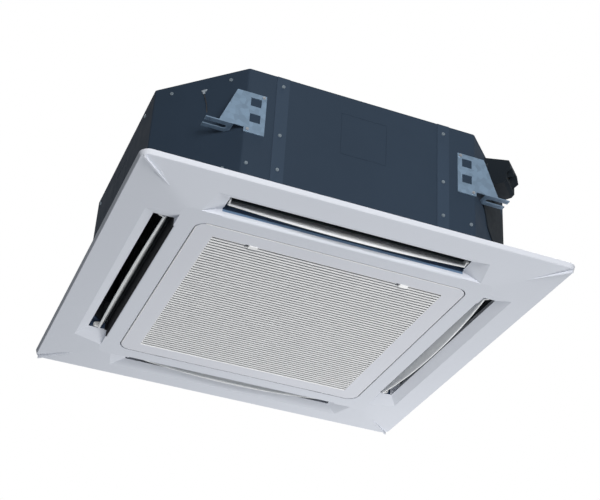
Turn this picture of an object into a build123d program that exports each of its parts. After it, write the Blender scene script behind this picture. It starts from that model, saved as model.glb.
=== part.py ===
import os
from math import cos, hypot, radians, sin, sqrt

from build123d import *

# Four-way ceiling cassette air conditioner.
# Frame: origin in the ceiling's lower surface at the middle of the panel, +Z up into the ceiling void,
# -Y towards the side of the grille latches, +Y towards the grille hinge. Millimetres.

# ---------------------------------------------------------------- front panel
PANEL_SIDE = 950.0
PANEL_CORNER = 22.0
RIM_HEIGHT = 10.3
RIM_DRAFT = 3.3
FACE_DROP = 11.0          # from the rim's lower edge down to the level face round the grille
LEVEL_HALF = 348.0        # half side of that level face
PANEL_WALL = 3.0
OPENING_HALF = 307.75     # intake opening at the face
OPENING_CORNER = 28.0
COLLAR_HALF = 310.0       # inside of the upright collar above the opening
COLLAR_TOP = 6.0
EDGE_ROUND = 2.0

# ---------------------------------------------------------------- air outlets (near side, others by turning)
SLOT_INNER = 347.0        # distance of the slot's inner wall from the middle
SLOT_OUTER = 391.0
SLOT_HALF = 268.0         # half length of the slot
SLOT_LEVEL = -2.8
SCOOP_FALL = 0.537        # fall of the scoop's outer slope, per millimetre outwards
SCOOP_END_FALL = 0.413
LIP_ROUND = 5.0
DUCT_OUTER = 399.0
GASKET = 3.0

# ---------------------------------------------------------------- swing flaps
FLAP_TOP = (354.0, 17.8)      # distance from the middle and height of the blade's upper edge, at rest
FLAP_TIP = (375.0, -17.8)     # and of its lower edge, at mid length
FLAP_PIVOT = (375.5, 3.25)
FLAP_HALF = 265.0
FLAP_THICK = 3.0
FLAP_END_CHORD = 26.0
FLAP_BEAD = 5.0
FLAP_SHAFT_R = 3.0
FLAP_EAR = 3.0
RUN_CLEAR = 0.05              # between a turning shaft and its bore
SEAT_CLEAR = 0.05             # between a part and the hole it is fixed in
SLIDE_CLEAR = 0.3             # round a part that slides in a guide
BUSH_R = 5.0
BUSH_FLANGE_R = 7.5
BUSH_FLAT = -0.4              # the bush's flange is cut flat at this level
FLAP_MOTOR_R = 8.5
FLAP_MOTOR_LIFT = 4.5        # the motor's middle lies above the flap's axis
FLAP_MOTOR_LENGTH = 18.0

# ---------------------------------------------------------------- intake grille and filter
GRILLE_GAP = 3.0
GRILLE_PLATE = 4.0
GRILLE_CORNER = 25.0
GRILLE_SKIRT = 3.0
GRILLE_BACK = -9.0            # level of the skirt's and ribs' upper edges
WINDOW_X = 524.0
SLAT_COUNT = 53
SLAT_PITCH = 10.0
SLAT_THICK = 4.2
SLAT_DEPTH = 9.0
RIB_COUNT = 5
RIB_THICK = 3.0
HINGE_Y = 290.0
HINGE_Z = -18.0
HINGE_X = 200.0
HINGE_WIRE_R = 1.5
HINGE_SPAN = 24.0             # between the hinge wire's upright ends
HINGE_SKIN = 1.5              # what stays of the grille's face below the wire
HINGE_EAR = 16.0              # width of the grille's ear on the wire
HINGE_EAR_WALL = 1.4
HINGE_ARM = 4.0               # thickness of the panel's arm that carries the wire
HINGE_MARGIN = 2.0            # of the arm and the pocket round the wire's ends
LATCH_X = 172.0
LATCH_Y = -260.5
LATCH_TRAVEL = 8.0
LATCH_TAB = (20.0, 12.4)
LATCH_PLATE = (38.0, 18.0, 2.5)
LATCH_TONGUE = 14.0
LATCH_TONGUE_THICK = 2.0
LATCH_PROUD = 1.2
PAD_DEPTH = 7.0               # from the grille's face back to the latch pads
PAD_WALL = 1.6
PAD_LIP = (3.0, 1.5)          # width and thickness of the lips over the latch's plate
FILTER_THICK = 6.0
FILTER_CORNER = 6.0
FILTER_BAR = 9.0              # width of the filter frame's bars
FILTER_EDGE = 3.0
MESH_THICK = 0.8
MESH_LEVEL = 2.5              # of the mesh above the frame's underside

# ---------------------------------------------------------------- body casing
BODY_SIDE = 840.0
BODY_BOTTOM = 17.0
BODY_HEIGHT = 288.0
NEAR_CHAMFER = 158.0
FAR_CHAMFER = 198.0
SHEET = 1.2
CASING_BEND = 8.0
FLANGE_WIDTH = 8.0
STRIP_IN = 76.0          # strip centre, in from the side face's end
STRIP_WIDTH = 28.0
STRIP_THICK = 1.0
STRIP_SCREW_Z = (281.0, 155.0, 70.0)
KNOCKOUT_SIDE = 105.0
KNOCKOUT_Z = 206.7
GROOVE_WIDTH = 1.6
GROOVE_DEPTH = 0.5
SCREW_HEAD_R = 4.0
SCREW_HEAD_H = 2.2

# ---------------------------------------------------------------- insulation, pan, coil
FOAM = 18.0
TOP_FOAM = 15.0
PAN_TOP = 70.0
PAN_OPENING_HALF = 296.0
PAN_OPENING_CORNER = 75.0
TROUGH_INNER = 302.5
TROUGH_OUTER = 343.5
TROUGH_FLOOR = 45.0
COIL_BOTTOM = 58.0
COIL_OUTER = 341.0
COIL_THICK = 36.0
COIL_CORNER = 120.0
COIL_GAP = 190.0              # where the coil's two ends stop, from the middle
COIL_END_PLATE = 2.0
FIN_GROOVE = 2.0
FIN_PITCH = 22.0

# ---------------------------------------------------------------- hanger brackets
BRACKET_THICK = 2.5
BRACKET_LOW = 141.0
BRACKET_HIGH = 242.0
BRACKET_WIDTH = 44.5
WINDOW_SIZE = (23.0, 21.0)
WINDOW_Z = (219.5, 179.0)
BRACKET_TOP_X = 284.0         # where the slanted edge meets the plate's top
BRACKET_ROOT_X = 318.0        # and where it meets the foot
FOOT_ROOT_X = 286.0           # where the foot begins
FOOT_Z = 151.2
FOOT_END_X = 345.0
FOOT_HALF = 16.0
BOLT_X = 302.5
BOLT_Y = 405.0
BOLT_SLOT_R = 6.0

# ---------------------------------------------------------------- fan, bell mouth, motor
THROAT_R = 166.0
BELL_R = 213.0
BELL_TOP = 78.0
BELL_WALL = 2.5
FAN_R = 235.0
FAN_EYE_R = 172.0
FAN_BLADES = 7
FAN_TOP = 236.0
FAN_WALL = 3.0
HUB_R = 88.0
HUB_LOW = 184.0
SHAFT_R = 6.0
MOTOR_R = 66.0
MOTOR_LOW = 198.0
MOTOR_HIGH = 286.0
MOUNT_RADIUS = 92.0

# ---------------------------------------------------------------- pipes and drain
COVER_LOW = 207.0
COVER_HIGH = 300.0
COVER_HALF = 38.0
HOOD_HALF = 33.0
HOOD_OUT = 58.5               # how far the pipe cover reaches out from the corner face
HOOD_SECTION = ((0, 215), (42, 222), (48.5, 229), (49, 247))    # its underside: out from the face, height
APRON_THICK = 3.0
APRON_CORNERS = ((-38, 210), (-62, 165), (-37, 141), (-23, 116), (15, 100), (80, 95), (98, 120), (98, 215), (38, 240))
FLOAT_HEIGHT = 14.0
FLOAT_TRAVEL = 12.0
PIPE_Z = 250.0
GAS_R = 7.94
LIQUID_R = 4.76
GAS_OFFSET = 13.0             # of the pipes along the corner face
LIQUID_OFFSET = -17.0
NUT_OUT = 20.0                # flare nuts' inner ends, out from the corner face
NUT_SEAT = 8.0                # length of a nut on the unit's own pipe
NUT_MOUTH = 12.0              # length of its bore for the pipe that is joined on site
MOUTH_CLEAR = 0.26
GAS_NUT = 29.0                # nut sizes across the flats
LIQUID_NUT = 22.0
PIPE_WALL = 1.0
PIPE_BORE = 30.0              # depth to which the pipe ends are bored
DRAIN_Y = -120.0
DRAIN_Z = 200.0
DRAIN_R = 16.0
HOSE_R = 11.0
HOSE_BEND = 16.0
PUMP_AT = 300.0
PUMP_R = 28.0

os.makedirs("parts", exist_ok=True)

face_z = -(RIM_HEIGHT + FACE_DROP)
body_top = BODY_BOTTOM + BODY_HEIGHT
body_half = BODY_SIDE / 2
pan_bottom = BODY_BOTTOM + SHEET
lid_bottom = body_top - SHEET
grille_half = OPENING_HALF - GRILLE_GAP
duct_top = pan_bottom - GASKET
window_y = SLAT_COUNT * SLAT_PITCH


def save(builder, label):
    """Label a finished piece and write its file."""
    builder.part.label = label
    export_step(builder.part, f"parts/{label}.step")


def side_plane(side, distance):
    """Upright plane facing out from the middle: side 0 near, 1 right, 2 far, 3 left; its x runs along the side."""
    angle = radians(90 * side)
    out = (round(sin(angle)), -round(cos(angle)), 0)
    along = (round(cos(angle)), round(sin(angle)), 0)
    return Plane(origin=(out[0] * distance, out[1] * distance, 0), x_dir=along, z_dir=out)


def casing_outline(inset):
    """Corners of the eight-sided body outline, moved in by inset."""
    half = body_half - inset
    near = BODY_SIDE - NEAR_CHAMFER - inset * sqrt(2) - half
    far = BODY_SIDE - FAR_CHAMFER - inset * sqrt(2) - half
    right = [(near, -half), (half, -near), (half, far), (far, half)]
    return right + [(-x, y) for x, y in reversed(right)]


def casing_profile(inset, level):
    """The body outline with its bends rounded, as a sketch at a level."""
    with BuildSketch(Plane.XY.offset(level)) as profile:
        Polygon(*casing_outline(inset), align=None)
        fillet(profile.vertices(), max(CASING_BEND - inset, 1.0))
    return profile.sketch


def ring_profile(half, corner, level):
    """A square with rounded corners, centred, as a sketch at a level."""
    with BuildSketch(Plane.XY.offset(level)) as profile:
        RectangleRounded(2 * half, 2 * half, corner)
    return profile.sketch


def strip_profile(inner, outer, half_length, level):
    """The near side's band between two distances from the middle, as a sketch at a level."""
    with BuildSketch(Plane.XY.offset(level)) as profile:
        with Locations((0, -(inner + outer) / 2)):
            Rectangle(2 * half_length, outer - inner)
    return profile.sketch


def slot_profiles(grow, level):
    """The four air slots at a level, kept inside the body's outline."""
    with BuildSketch(Plane.XY.offset(level)) as profile:
        Rectangle(2 * (DUCT_OUTER + grow), 2 * (SLOT_HALF + grow))
        Rectangle(2 * (SLOT_HALF + grow), 2 * (DUCT_OUTER + grow))
        Rectangle(2 * (SLOT_INNER - grow), 2 * (SLOT_INNER - grow), mode=Mode.SUBTRACT)
        Polygon(*casing_outline(SHEET + FLANGE_WIDTH - grow), align=None, mode=Mode.INTERSECT)
    return profile.sketch


def pipe_run(points, radius, bend):
    """A round pipe along rounded corners."""
    with BuildPart() as run:
        with BuildLine() as route:
            FilletPolyline(*points, radius=bend)
        with BuildSketch(Plane(origin=route.line @ 0, z_dir=route.line % 0)):
            Circle(radius)
        sweep()
    return run.part


# ================================================================ front panel
def scoop_profile(level, grow):
    """Section of the near outlet's scoop at a level, grown outwards by a wall."""
    below = SLOT_LEVEL - level
    outer = SLOT_OUTER + below / SCOOP_FALL + grow
    half_length = SLOT_HALF + below / SCOOP_END_FALL + grow
    return strip_profile(SLOT_INNER - grow, outer, half_length, level)


scoop_low = face_z - 1.0
with BuildPart() as outlet_void:
    loft([scoop_profile(scoop_low, 0), scoop_profile(SLOT_LEVEL, 0)])
    extrude(strip_profile(SLOT_INNER, DUCT_OUTER, SLOT_HALF, SLOT_LEVEL), amount=duct_top - PANEL_WALL - SLOT_LEVEL)
    lip_plane = Plane(origin=(-SLOT_HALF, 0, 0), x_dir=(0, 1, 0), z_dir=(1, 0, 0))
    with BuildSketch(lip_plane):
        with Locations((-SLOT_INNER + LIP_ROUND / 2, face_z + LIP_ROUND / 2)):
            Rectangle(LIP_ROUND, LIP_ROUND)
        with Locations((-SLOT_INNER + LIP_ROUND, face_z + LIP_ROUND)):
            Circle(LIP_ROUND, mode=Mode.SUBTRACT)
    extrude(amount=2 * SLOT_HALF)
    for end in (-1, 1):
        with BuildSketch(Plane.YZ.offset(end * SLOT_HALF)):
            with Locations((-FLAP_PIVOT[0], FLAP_PIVOT[1])):
                Circle(BUSH_R)
        extrude(amount=PANEL_WALL + 1, both=True)

with BuildPart() as panel_space:
    loft([ring_profile(PANEL_SIDE / 2 - RIM_DRAFT, PANEL_CORNER - RIM_DRAFT, -RIM_HEIGHT),
          ring_profile(LEVEL_HALF, PANEL_CORNER, face_z)])
    extrude(ring_profile(PANEL_SIDE / 2 - RIM_DRAFT, PANEL_CORNER - RIM_DRAFT, -RIM_HEIGHT),
            amount=pan_bottom + RIM_HEIGHT)

with BuildPart() as outlet_shell:
    loft([scoop_profile(scoop_low, PANEL_WALL), scoop_profile(SLOT_LEVEL + PANEL_WALL, PANEL_WALL)])
    extrude(strip_profile(SLOT_INNER - PANEL_WALL, DUCT_OUTER + PANEL_WALL, SLOT_HALF + PANEL_WALL,
                          SLOT_LEVEL - PANEL_WALL), amount=duct_top - SLOT_LEVEL + PANEL_WALL)
    add(panel_space.part, mode=Mode.INTERSECT)

lug_at = COLLAR_HALF - 22.0
lug_low = 4.0
plate_low = pan_bottom - 1.5
arm_from = HINGE_Y - HINGE_WIRE_R - HINGE_MARGIN
arm_width = HINGE_SPAN + 2 * (HINGE_WIRE_R + HINGE_MARGIN)
with BuildPart() as panel_frame:
    loft([ring_profile(PANEL_SIDE / 2, PANEL_CORNER, 0),
          ring_profile(PANEL_SIDE / 2 - RIM_DRAFT, PANEL_CORNER - RIM_DRAFT, -RIM_HEIGHT)])
    loft([ring_profile(PANEL_SIDE / 2 - RIM_DRAFT, PANEL_CORNER - RIM_DRAFT, -RIM_HEIGHT),
          ring_profile(LEVEL_HALF, PANEL_CORNER, face_z)])
    fillet(panel_frame.edges().filter_by_position(Axis.Z, -RIM_HEIGHT - 0.01, -RIM_HEIGHT + 0.01), EDGE_ROUND)
    loft([ring_profile(PANEL_SIDE / 2 - PANEL_WALL, PANEL_CORNER - PANEL_WALL, 0),
          ring_profile(PANEL_SIDE / 2 - PANEL_WALL - RIM_DRAFT, PANEL_CORNER - PANEL_WALL,
                       PANEL_WALL - RIM_HEIGHT)], mode=Mode.SUBTRACT)
    loft([ring_profile(PANEL_SIDE / 2 - PANEL_WALL - RIM_DRAFT, PANEL_CORNER - PANEL_WALL,
                       PANEL_WALL - RIM_HEIGHT),
          ring_profile(LEVEL_HALF, PANEL_CORNER, face_z + PANEL_WALL)], mode=Mode.SUBTRACT)
    extrude(ring_profile(COLLAR_HALF + PANEL_WALL, OPENING_CORNER + PANEL_WALL, face_z),
            amount=COLLAR_TOP - face_z)
    for side in range(4):
        add(outlet_shell.part, rotation=(0, 0, 90 * side))
    # stiffening ribs on the hidden side, from the collar's corners out to the rim
    rib_from = COLLAR_HALF - 4.0
    rib_to = PANEL_SIDE / 2 - 9.0
    for quarter in range(4):
        rib_plane = Plane.XY.offset(0).rotated((0, 0, 45 + 90 * quarter))
        with BuildSketch(rib_plane.offset(face_z / 2 - 6)):
            with Locations(((rib_from + rib_to) / sqrt(2), 0)):
                Rectangle((rib_to - rib_from) * sqrt(2), PANEL_WALL)
        extrude(amount=8)
    extrude(ring_profile(COLLAR_HALF, OPENING_CORNER, face_z + PANEL_WALL), amount=COLLAR_TOP - face_z + 1,
            mode=Mode.SUBTRACT)
    extrude(ring_profile(OPENING_HALF, OPENING_CORNER, face_z - 1), amount=PANEL_WALL + 2, mode=Mode.SUBTRACT)
    for side in range(4):
        add(outlet_void.part, rotation=(0, 0, 90 * side), mode=Mode.SUBTRACT)
    # the ducts' upper ends follow the body's corner faces
    extrude(slot_profiles(0, duct_top - PANEL_WALL), amount=PANEL_WALL + 1, mode=Mode.SUBTRACT)
    # screw lugs in the corners of the intake opening
    with BuildSketch(Plane.XY.offset(lug_low)):
        with GridLocations(2 * lug_at, 2 * lug_at, 2, 2):
            Rectangle(34, 34)
        RectangleRounded(2 * COLLAR_HALF + 1, 2 * COLLAR_HALF + 1, OPENING_CORNER, mode=Mode.INTERSECT)
    extrude(amount=4)
    with BuildSketch(Plane.XY.offset(lug_low)):
        with GridLocations(2 * lug_at, 2 * lug_at, 2, 2):
            Circle(9)
    extrude(amount=plate_low - lug_low)
    with BuildSketch(Plane.XY.offset(lug_low)):
        with GridLocations(2 * lug_at, 2 * lug_at, 2, 2):
            Circle(2.8)
    extrude(amount=plate_low - lug_low, mode=Mode.SUBTRACT)
    # an arm from the collar carries each hinge wire
    with BuildSketch(Plane.XY):
        with Locations((-HINGE_X, (arm_from + COLLAR_HALF + 1) / 2), (HINGE_X, (arm_from + COLLAR_HALF + 1) / 2)):
            Rectangle(arm_width, COLLAR_HALF + 1 - arm_from)
        with Locations((-HINGE_X, HINGE_Y), (HINGE_X, HINGE_Y)):
            with GridLocations(HINGE_SPAN, 0, 2, 1):
                Circle(HINGE_WIRE_R + SEAT_CLEAR, mode=Mode.SUBTRACT)
    extrude(amount=HINGE_ARM)
save(panel_frame, "panel_frame")


with BuildPart() as panel_gasket:
    extrude(slot_profiles(PANEL_WALL, duct_top), amount=BODY_BOTTOM - duct_top)
    with BuildSketch(Plane.XY.offset(BODY_BOTTOM)) as gasket_upper:
        add(slot_profiles(PANEL_WALL, BODY_BOTTOM))
        Polygon(*casing_outline(SHEET + FLANGE_WIDTH), align=None, mode=Mode.INTERSECT)
    extrude(amount=SHEET)
    extrude(slot_profiles(0, duct_top - 1), amount=GASKET + 2, mode=Mode.SUBTRACT)
save(panel_gasket, "panel_gasket")

# ================================================================ swing flaps
chord = (FLAP_TIP[0] - FLAP_TOP[0], FLAP_TOP[1] - FLAP_TIP[1])
chord_length = hypot(*chord)
chord_unit = (chord[0] / chord_length, chord[1] / chord_length)
blade_plane = Plane(origin=(0, -FLAP_TOP[0], FLAP_TOP[1]), x_dir=(1, 0, 0),
                    z_dir=(0, -chord_unit[1], chord_unit[0]))
ear_top = (FLAP_TOP[0] + 10 * chord_unit[0], FLAP_TOP[1] - 10 * chord_unit[1])
ear_low = (FLAP_TOP[0] + (FLAP_END_CHORD - 2) * chord_unit[0], FLAP_TOP[1] - (FLAP_END_CHORD - 2) * chord_unit[1])
shaft_end = SLOT_HALF + PANEL_WALL + 2.0


def blade_outline(depth_mid, depth_end, top):
    """The flap's outline in its own plane: straight upper edge, bowed lower edge."""
    with BuildSketch(blade_plane) as outline:
        with BuildLine():
            Polyline((FLAP_HALF, -depth_end), (FLAP_HALF, -top), (-FLAP_HALF, -top), (-FLAP_HALF, -depth_end))
            ThreePointArc((-FLAP_HALF, -depth_end), (0, -depth_mid), (FLAP_HALF, -depth_end))
        make_face()
    return outline.sketch


with BuildPart() as flap_near:
    extrude(blade_outline(chord_length, FLAP_END_CHORD, 0), amount=FLAP_THICK / 2, both=True)
    with BuildSketch(blade_plane):
        with BuildLine():
            low = ThreePointArc((-FLAP_HALF, -FLAP_END_CHORD), (0, -chord_length), (FLAP_HALF, -FLAP_END_CHORD))
            high = ThreePointArc((-FLAP_HALF, FLAP_BEAD - FLAP_END_CHORD), (0, FLAP_BEAD - chord_length),
                                 (FLAP_HALF, FLAP_BEAD - FLAP_END_CHORD))
            Line(low @ 0, high @ 0)
            Line(low @ 1, high @ 1)
        make_face()
    extrude(amount=FLAP_BEAD / 2, both=True)
    bead_edges = flap_near.edges().filter_by(GeomType.CIRCLE).filter_by(lambda edge: edge.length > FLAP_HALF)
    fillet(bead_edges.group_by(Axis.Z)[0] + bead_edges.group_by(Axis.Z)[1], 1.2)
    for end in (-1, 1):
        with BuildSketch(Plane.YZ.offset(end * (FLAP_HALF - FLAP_EAR / 2))):
            with Locations((-FLAP_PIVOT[0], FLAP_PIVOT[1])):
                Circle(FLAP_SHAFT_R + 2)
            with Locations((-ear_top[0], ear_top[1]), (-ear_low[0], ear_low[1])):
                Circle(FLAP_THICK / 2)
            make_hull()
        extrude(amount=FLAP_EAR / 2, both=True)
        with BuildSketch(Plane.YZ.offset(end * FLAP_HALF)):
            with Locations((-FLAP_PIVOT[0], FLAP_PIVOT[1])):
                Circle(FLAP_SHAFT_R)
        extrude(amount=end * (shaft_end - FLAP_HALF))
save(flap_near, "flap_near")
with BuildPart() as flap_right:
    add(flap_near.part, rotation=(0, 0, 90))
save(flap_right, "flap_right")
with BuildPart() as flap_far:
    add(flap_near.part, rotation=(0, 0, 180))
save(flap_far, "flap_far")
with BuildPart() as flap_left:
    add(flap_near.part, rotation=(0, 0, 270))
save(flap_left, "flap_left")

bush_end = SLOT_HALF + PANEL_WALL
with BuildPart() as flap_bush:
    with BuildSketch(Plane.YZ.offset(-bush_end)):
        with Locations((-FLAP_PIVOT[0], FLAP_PIVOT[1])):
            Circle(BUSH_R)
    extrude(amount=PANEL_WALL)
    with BuildSketch(Plane.YZ.offset(-bush_end)):
        with Locations((-FLAP_PIVOT[0], FLAP_PIVOT[1])):
            Circle(BUSH_FLANGE_R)
            with Locations((0, -FLAP_PIVOT[1] + BUSH_FLAT - BUSH_FLANGE_R)):
                Rectangle(2 * BUSH_FLANGE_R, 2 * BUSH_FLANGE_R, mode=Mode.SUBTRACT)
    extrude(amount=-3.5)
    with BuildSketch(Plane.YZ.offset(-shaft_end - 0.5)):
        with Locations((-FLAP_PIVOT[0], FLAP_PIVOT[1])):
            Circle(FLAP_SHAFT_R + RUN_CLEAR)
    extrude(amount=PANEL_WALL + 3, mode=Mode.SUBTRACT)
with BuildPart() as flap_bushes:
    for side in range(4):
        add(flap_bush.part, rotation=(0, 0, 90 * side))
save(flap_bushes, "flap_bushes")

with BuildPart() as flap_motor:
    with BuildSketch(Plane.YZ.offset(SLOT_HALF)):
        with Locations((-FLAP_PIVOT[0], FLAP_PIVOT[1])):
            Circle(BUSH_R)
    extrude(amount=PANEL_WALL)
    with BuildSketch(Plane.YZ.offset(bush_end)):
        with Locations((-FLAP_PIVOT[0], FLAP_PIVOT[1] + FLAP_MOTOR_LIFT)):
            Circle(FLAP_MOTOR_R)
    extrude(amount=FLAP_MOTOR_LENGTH)
    fillet(flap_motor.edges().group_by(Axis.X)[-1], 1.2)
    with BuildSketch(Plane.YZ.offset(bush_end)):
        with Locations((-FLAP_PIVOT[0], FLAP_PIVOT[1] + FLAP_MOTOR_LIFT)):
            SlotCenterToCenter(24, 7)
            with GridLocations(24, 0, 2, 1):
                Circle(1.6, mode=Mode.SUBTRACT)
    extrude(amount=1.2)
    with BuildSketch(Plane.YZ.offset(SLOT_HALF)):
        with Locations((-FLAP_PIVOT[0], FLAP_PIVOT[1])):
            Circle(FLAP_SHAFT_R + RUN_CLEAR)
    extrude(amount=shaft_end - SLOT_HALF + 0.5, mode=Mode.SUBTRACT)
for side, label in enumerate(("near", "right", "far", "left")):
    with BuildPart() as flap_motor_turned:
        add(flap_motor.part, rotation=(0, 0, 90 * side))
    save(flap_motor_turned, f"flap_motor_{label}")

# ================================================================ intake grille, latches, filter
plate_back = face_z + GRILLE_PLATE
pad_centres = [(x - LATCH_TRAVEL / 2, LATCH_Y) for x in (-LATCH_X, LATCH_X)]
guide_size = (LATCH_PLATE[0] + LATCH_TRAVEL + 2 * SLIDE_CLEAR, LATCH_PLATE[1] + 2 * SLIDE_CLEAR)
pad_top = face_z + PAD_DEPTH + PAD_WALL
lip_low = pad_top + LATCH_PLATE[2] + 2 * SLIDE_CLEAR
lip_high = lip_low + PAD_LIP[1]
pocket_from = HINGE_Y - HINGE_WIRE_R - HINGE_MARGIN - 0.5
ear_r = HINGE_WIRE_R + RUN_CLEAR + HINGE_EAR_WALL
with BuildPart() as intake_grille:
    extrude(ring_profile(grille_half, GRILLE_CORNER, face_z), amount=GRILLE_BACK - face_z)
    fillet(intake_grille.edges().group_by(Axis.Z)[0], 1.2)
    with BuildSketch(Plane.XY.offset(plate_back)):
        RectangleRounded(2 * (grille_half - GRILLE_SKIRT), 2 * (grille_half - GRILLE_SKIRT),
                         GRILLE_CORNER - GRILLE_SKIRT)
    extrude(amount=GRILLE_BACK - plate_back, mode=Mode.SUBTRACT)
    with BuildSketch(Plane.XY.offset(face_z)):
        Rectangle(WINDOW_X, window_y)
    extrude(amount=GRILLE_PLATE, mode=Mode.SUBTRACT)
    with BuildSketch(Plane.XY.offset(face_z + 0.6)):
        with GridLocations(0, SLAT_PITCH, 1, SLAT_COUNT + 1):
            Rectangle(WINDOW_X + 2, SLAT_THICK)
        Rectangle(WINDOW_X + 4, window_y, mode=Mode.INTERSECT)
    extrude(amount=SLAT_DEPTH)
    with BuildSketch(Plane.XY.offset(GRILLE_BACK)):
        with GridLocations(WINDOW_X / (RIB_COUNT + 1), 0, RIB_COUNT, 1):
            Rectangle(RIB_THICK, window_y + 8)
        Rectangle(WINDOW_X + 8, window_y + 8)
        Rectangle(WINDOW_X, window_y, mode=Mode.SUBTRACT)
        with GridLocations(WINDOW_X / (RIB_COUNT + 1), 0, RIB_COUNT, 1):
            Rectangle(RIB_THICK, window_y)
    extrude(amount=plate_back - 0.5 - GRILLE_BACK)
    # pads behind the slats that carry the latches
    with BuildSketch(Plane.XY.offset(face_z + PAD_DEPTH)):
        with Locations(*pad_centres):
            Rectangle(guide_size[0] + 2 * PAD_WALL, guide_size[1] + 2 * PAD_WALL)
    extrude(amount=lip_high - face_z - PAD_DEPTH)
    with BuildSketch(Plane.XY.offset(pad_top)):
        with Locations(*pad_centres):
            Rectangle(*guide_size)
    extrude(amount=lip_high - pad_top, mode=Mode.SUBTRACT)
    with BuildSketch(Plane.XY.offset(lip_low)):
        with Locations(*pad_centres):
            with GridLocations(0, guide_size[1] - PAD_LIP[0] + 1, 1, 2):
                Rectangle(guide_size[0] + 1, PAD_LIP[0] + 1)
    extrude(amount=PAD_LIP[1])
    with BuildSketch(Plane.XY.offset(face_z)):
        with Locations(*pad_centres):
            RectangleRounded(LATCH_TAB[0] + LATCH_TRAVEL + 2 * SLIDE_CLEAR, LATCH_TAB[1] + 2 * SLIDE_CLEAR, 2.5)
    extrude(amount=pad_top - face_z, mode=Mode.SUBTRACT)
    # pockets in the hinge edge for the wires, each with an ear round its wire
    with BuildSketch(Plane.XY.offset(face_z + HINGE_SKIN)):
        with Locations(*[(x, (pocket_from + grille_half + 1) / 2) for x in (-HINGE_X, HINGE_X)]):
            Rectangle(arm_width, grille_half + 1 - pocket_from)
    extrude(amount=GRILLE_BACK - face_z, mode=Mode.SUBTRACT)
    for ear_x in (-HINGE_X, HINGE_X):
        with BuildSketch(Plane.YZ.offset(ear_x)):
            with Locations((HINGE_Y, HINGE_Z)):
                Circle(ear_r)
            with GridLocations(2 * ear_r + 2, 0, 2, 1):
                with Locations((HINGE_Y, face_z + HINGE_SKIN - 0.2)):
                    Circle(0.2)
            make_hull()
            with Locations((HINGE_Y, HINGE_Z)):
                Circle(HINGE_WIRE_R + RUN_CLEAR, mode=Mode.SUBTRACT)
        extrude(amount=HINGE_EAR / 2, both=True)
save(intake_grille, "intake_grille")

with BuildPart() as hinge_pins:
    for wire_x in (-HINGE_X, HINGE_X):
        wire_ends = (wire_x - HINGE_SPAN / 2, wire_x + HINGE_SPAN / 2)
        add(pipe_run([(wire_ends[0], HINGE_Y, HINGE_ARM), (wire_ends[0], HINGE_Y, HINGE_Z),
                      (wire_ends[1], HINGE_Y, HINGE_Z), (wire_ends[1], HINGE_Y, HINGE_ARM)],
                     HINGE_WIRE_R, HINGE_WIRE_R + 1))
save(hinge_pins, "hinge_pins")


def latch(centre_x, label):
    """A sliding latch: tab below the grille's face, plate in the pad's guide, tongue towards the panel's edge."""
    latch_low = pad_top + SLIDE_CLEAR
    tongue_low = lip_high + SLIDE_CLEAR
    tongue_from = LATCH_Y + LATCH_TAB[1] / 2 - 3
    tongue_end = -grille_half + 1.0
    with BuildPart() as slider:
        with BuildSketch(Plane.XY.offset(latch_low)):
            with Locations((centre_x, LATCH_Y)):
                Rectangle(LATCH_PLATE[0], LATCH_PLATE[1])
        extrude(amount=LATCH_PLATE[2])
        with BuildSketch(Plane.XY.offset(face_z - LATCH_PROUD)):
            with Locations((centre_x, LATCH_Y)):
                RectangleRounded(LATCH_TAB[0], LATCH_TAB[1], 2)
        extrude(amount=latch_low - face_z + LATCH_PROUD)
        fillet(slider.edges().group_by(Axis.Z)[0], 0.8)
        # the riser passes between the guide's lips, the tongue over them
        with BuildSketch(Plane.XY.offset(latch_low)):
            with Locations((centre_x, LATCH_Y)):
                Rectangle(LATCH_TONGUE, LATCH_TAB[1] - 6)
        extrude(amount=tongue_low - latch_low)
        with BuildSketch(Plane.XY.offset(tongue_low)):
            with Locations((centre_x, (tongue_from + tongue_end) / 2)):
                Rectangle(LATCH_TONGUE, tongue_from - tongue_end)
        extrude(amount=LATCH_TONGUE_THICK)
        fillet(slider.edges().filter_by(Axis.Z).group_by(Axis.Y)[0], 3)
    save(slider, label)


latch(-LATCH_X, "latch_left")
latch(LATCH_X, "latch_right")

filter_y = (LATCH_Y + LATCH_PLATE[1] / 2 + 6, window_y / 2 + 5)
filter_x = WINDOW_X / 2 + 5
filter_centre = (filter_y[0] + filter_y[1]) / 2
filter_length = filter_y[1] - filter_y[0]
filter_cell = ((2 * filter_x - FILTER_BAR) / 3, (filter_length - FILTER_BAR) / 2)
with BuildPart() as filter_mesh:
    with BuildSketch(Plane.XY.offset(GRILLE_BACK + MESH_LEVEL)):
        with Locations((0, filter_centre)):
            Rectangle(2 * (filter_x - FILTER_EDGE), filter_length - 2 * FILTER_EDGE)
    extrude(amount=MESH_THICK)
save(filter_mesh, "filter_mesh")
with BuildPart() as filter_frame:
    with BuildSketch(Plane.XY.offset(GRILLE_BACK)):
        with Locations((0, filter_centre)):
            RectangleRounded(2 * filter_x, filter_length, FILTER_CORNER)
            with GridLocations(*filter_cell, 3, 2):
                Rectangle(filter_cell[0] - FILTER_BAR, filter_cell[1] - FILTER_BAR, mode=Mode.SUBTRACT)
    extrude(amount=FILTER_THICK)
    fillet(filter_frame.edges().group_by(Axis.Z)[-1].filter_by(GeomType.CIRCLE), 0.8)
    add(filter_mesh.part, mode=Mode.SUBTRACT)
save(filter_frame, "filter_frame")

# ================================================================ body casing
corner_normals = {"nr": (1, -1, NEAR_CHAMFER), "nl": (-1, -1, NEAR_CHAMFER), "fr": (1, 1, FAR_CHAMFER),
                  "fl": (-1, 1, FAR_CHAMFER)}


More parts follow.
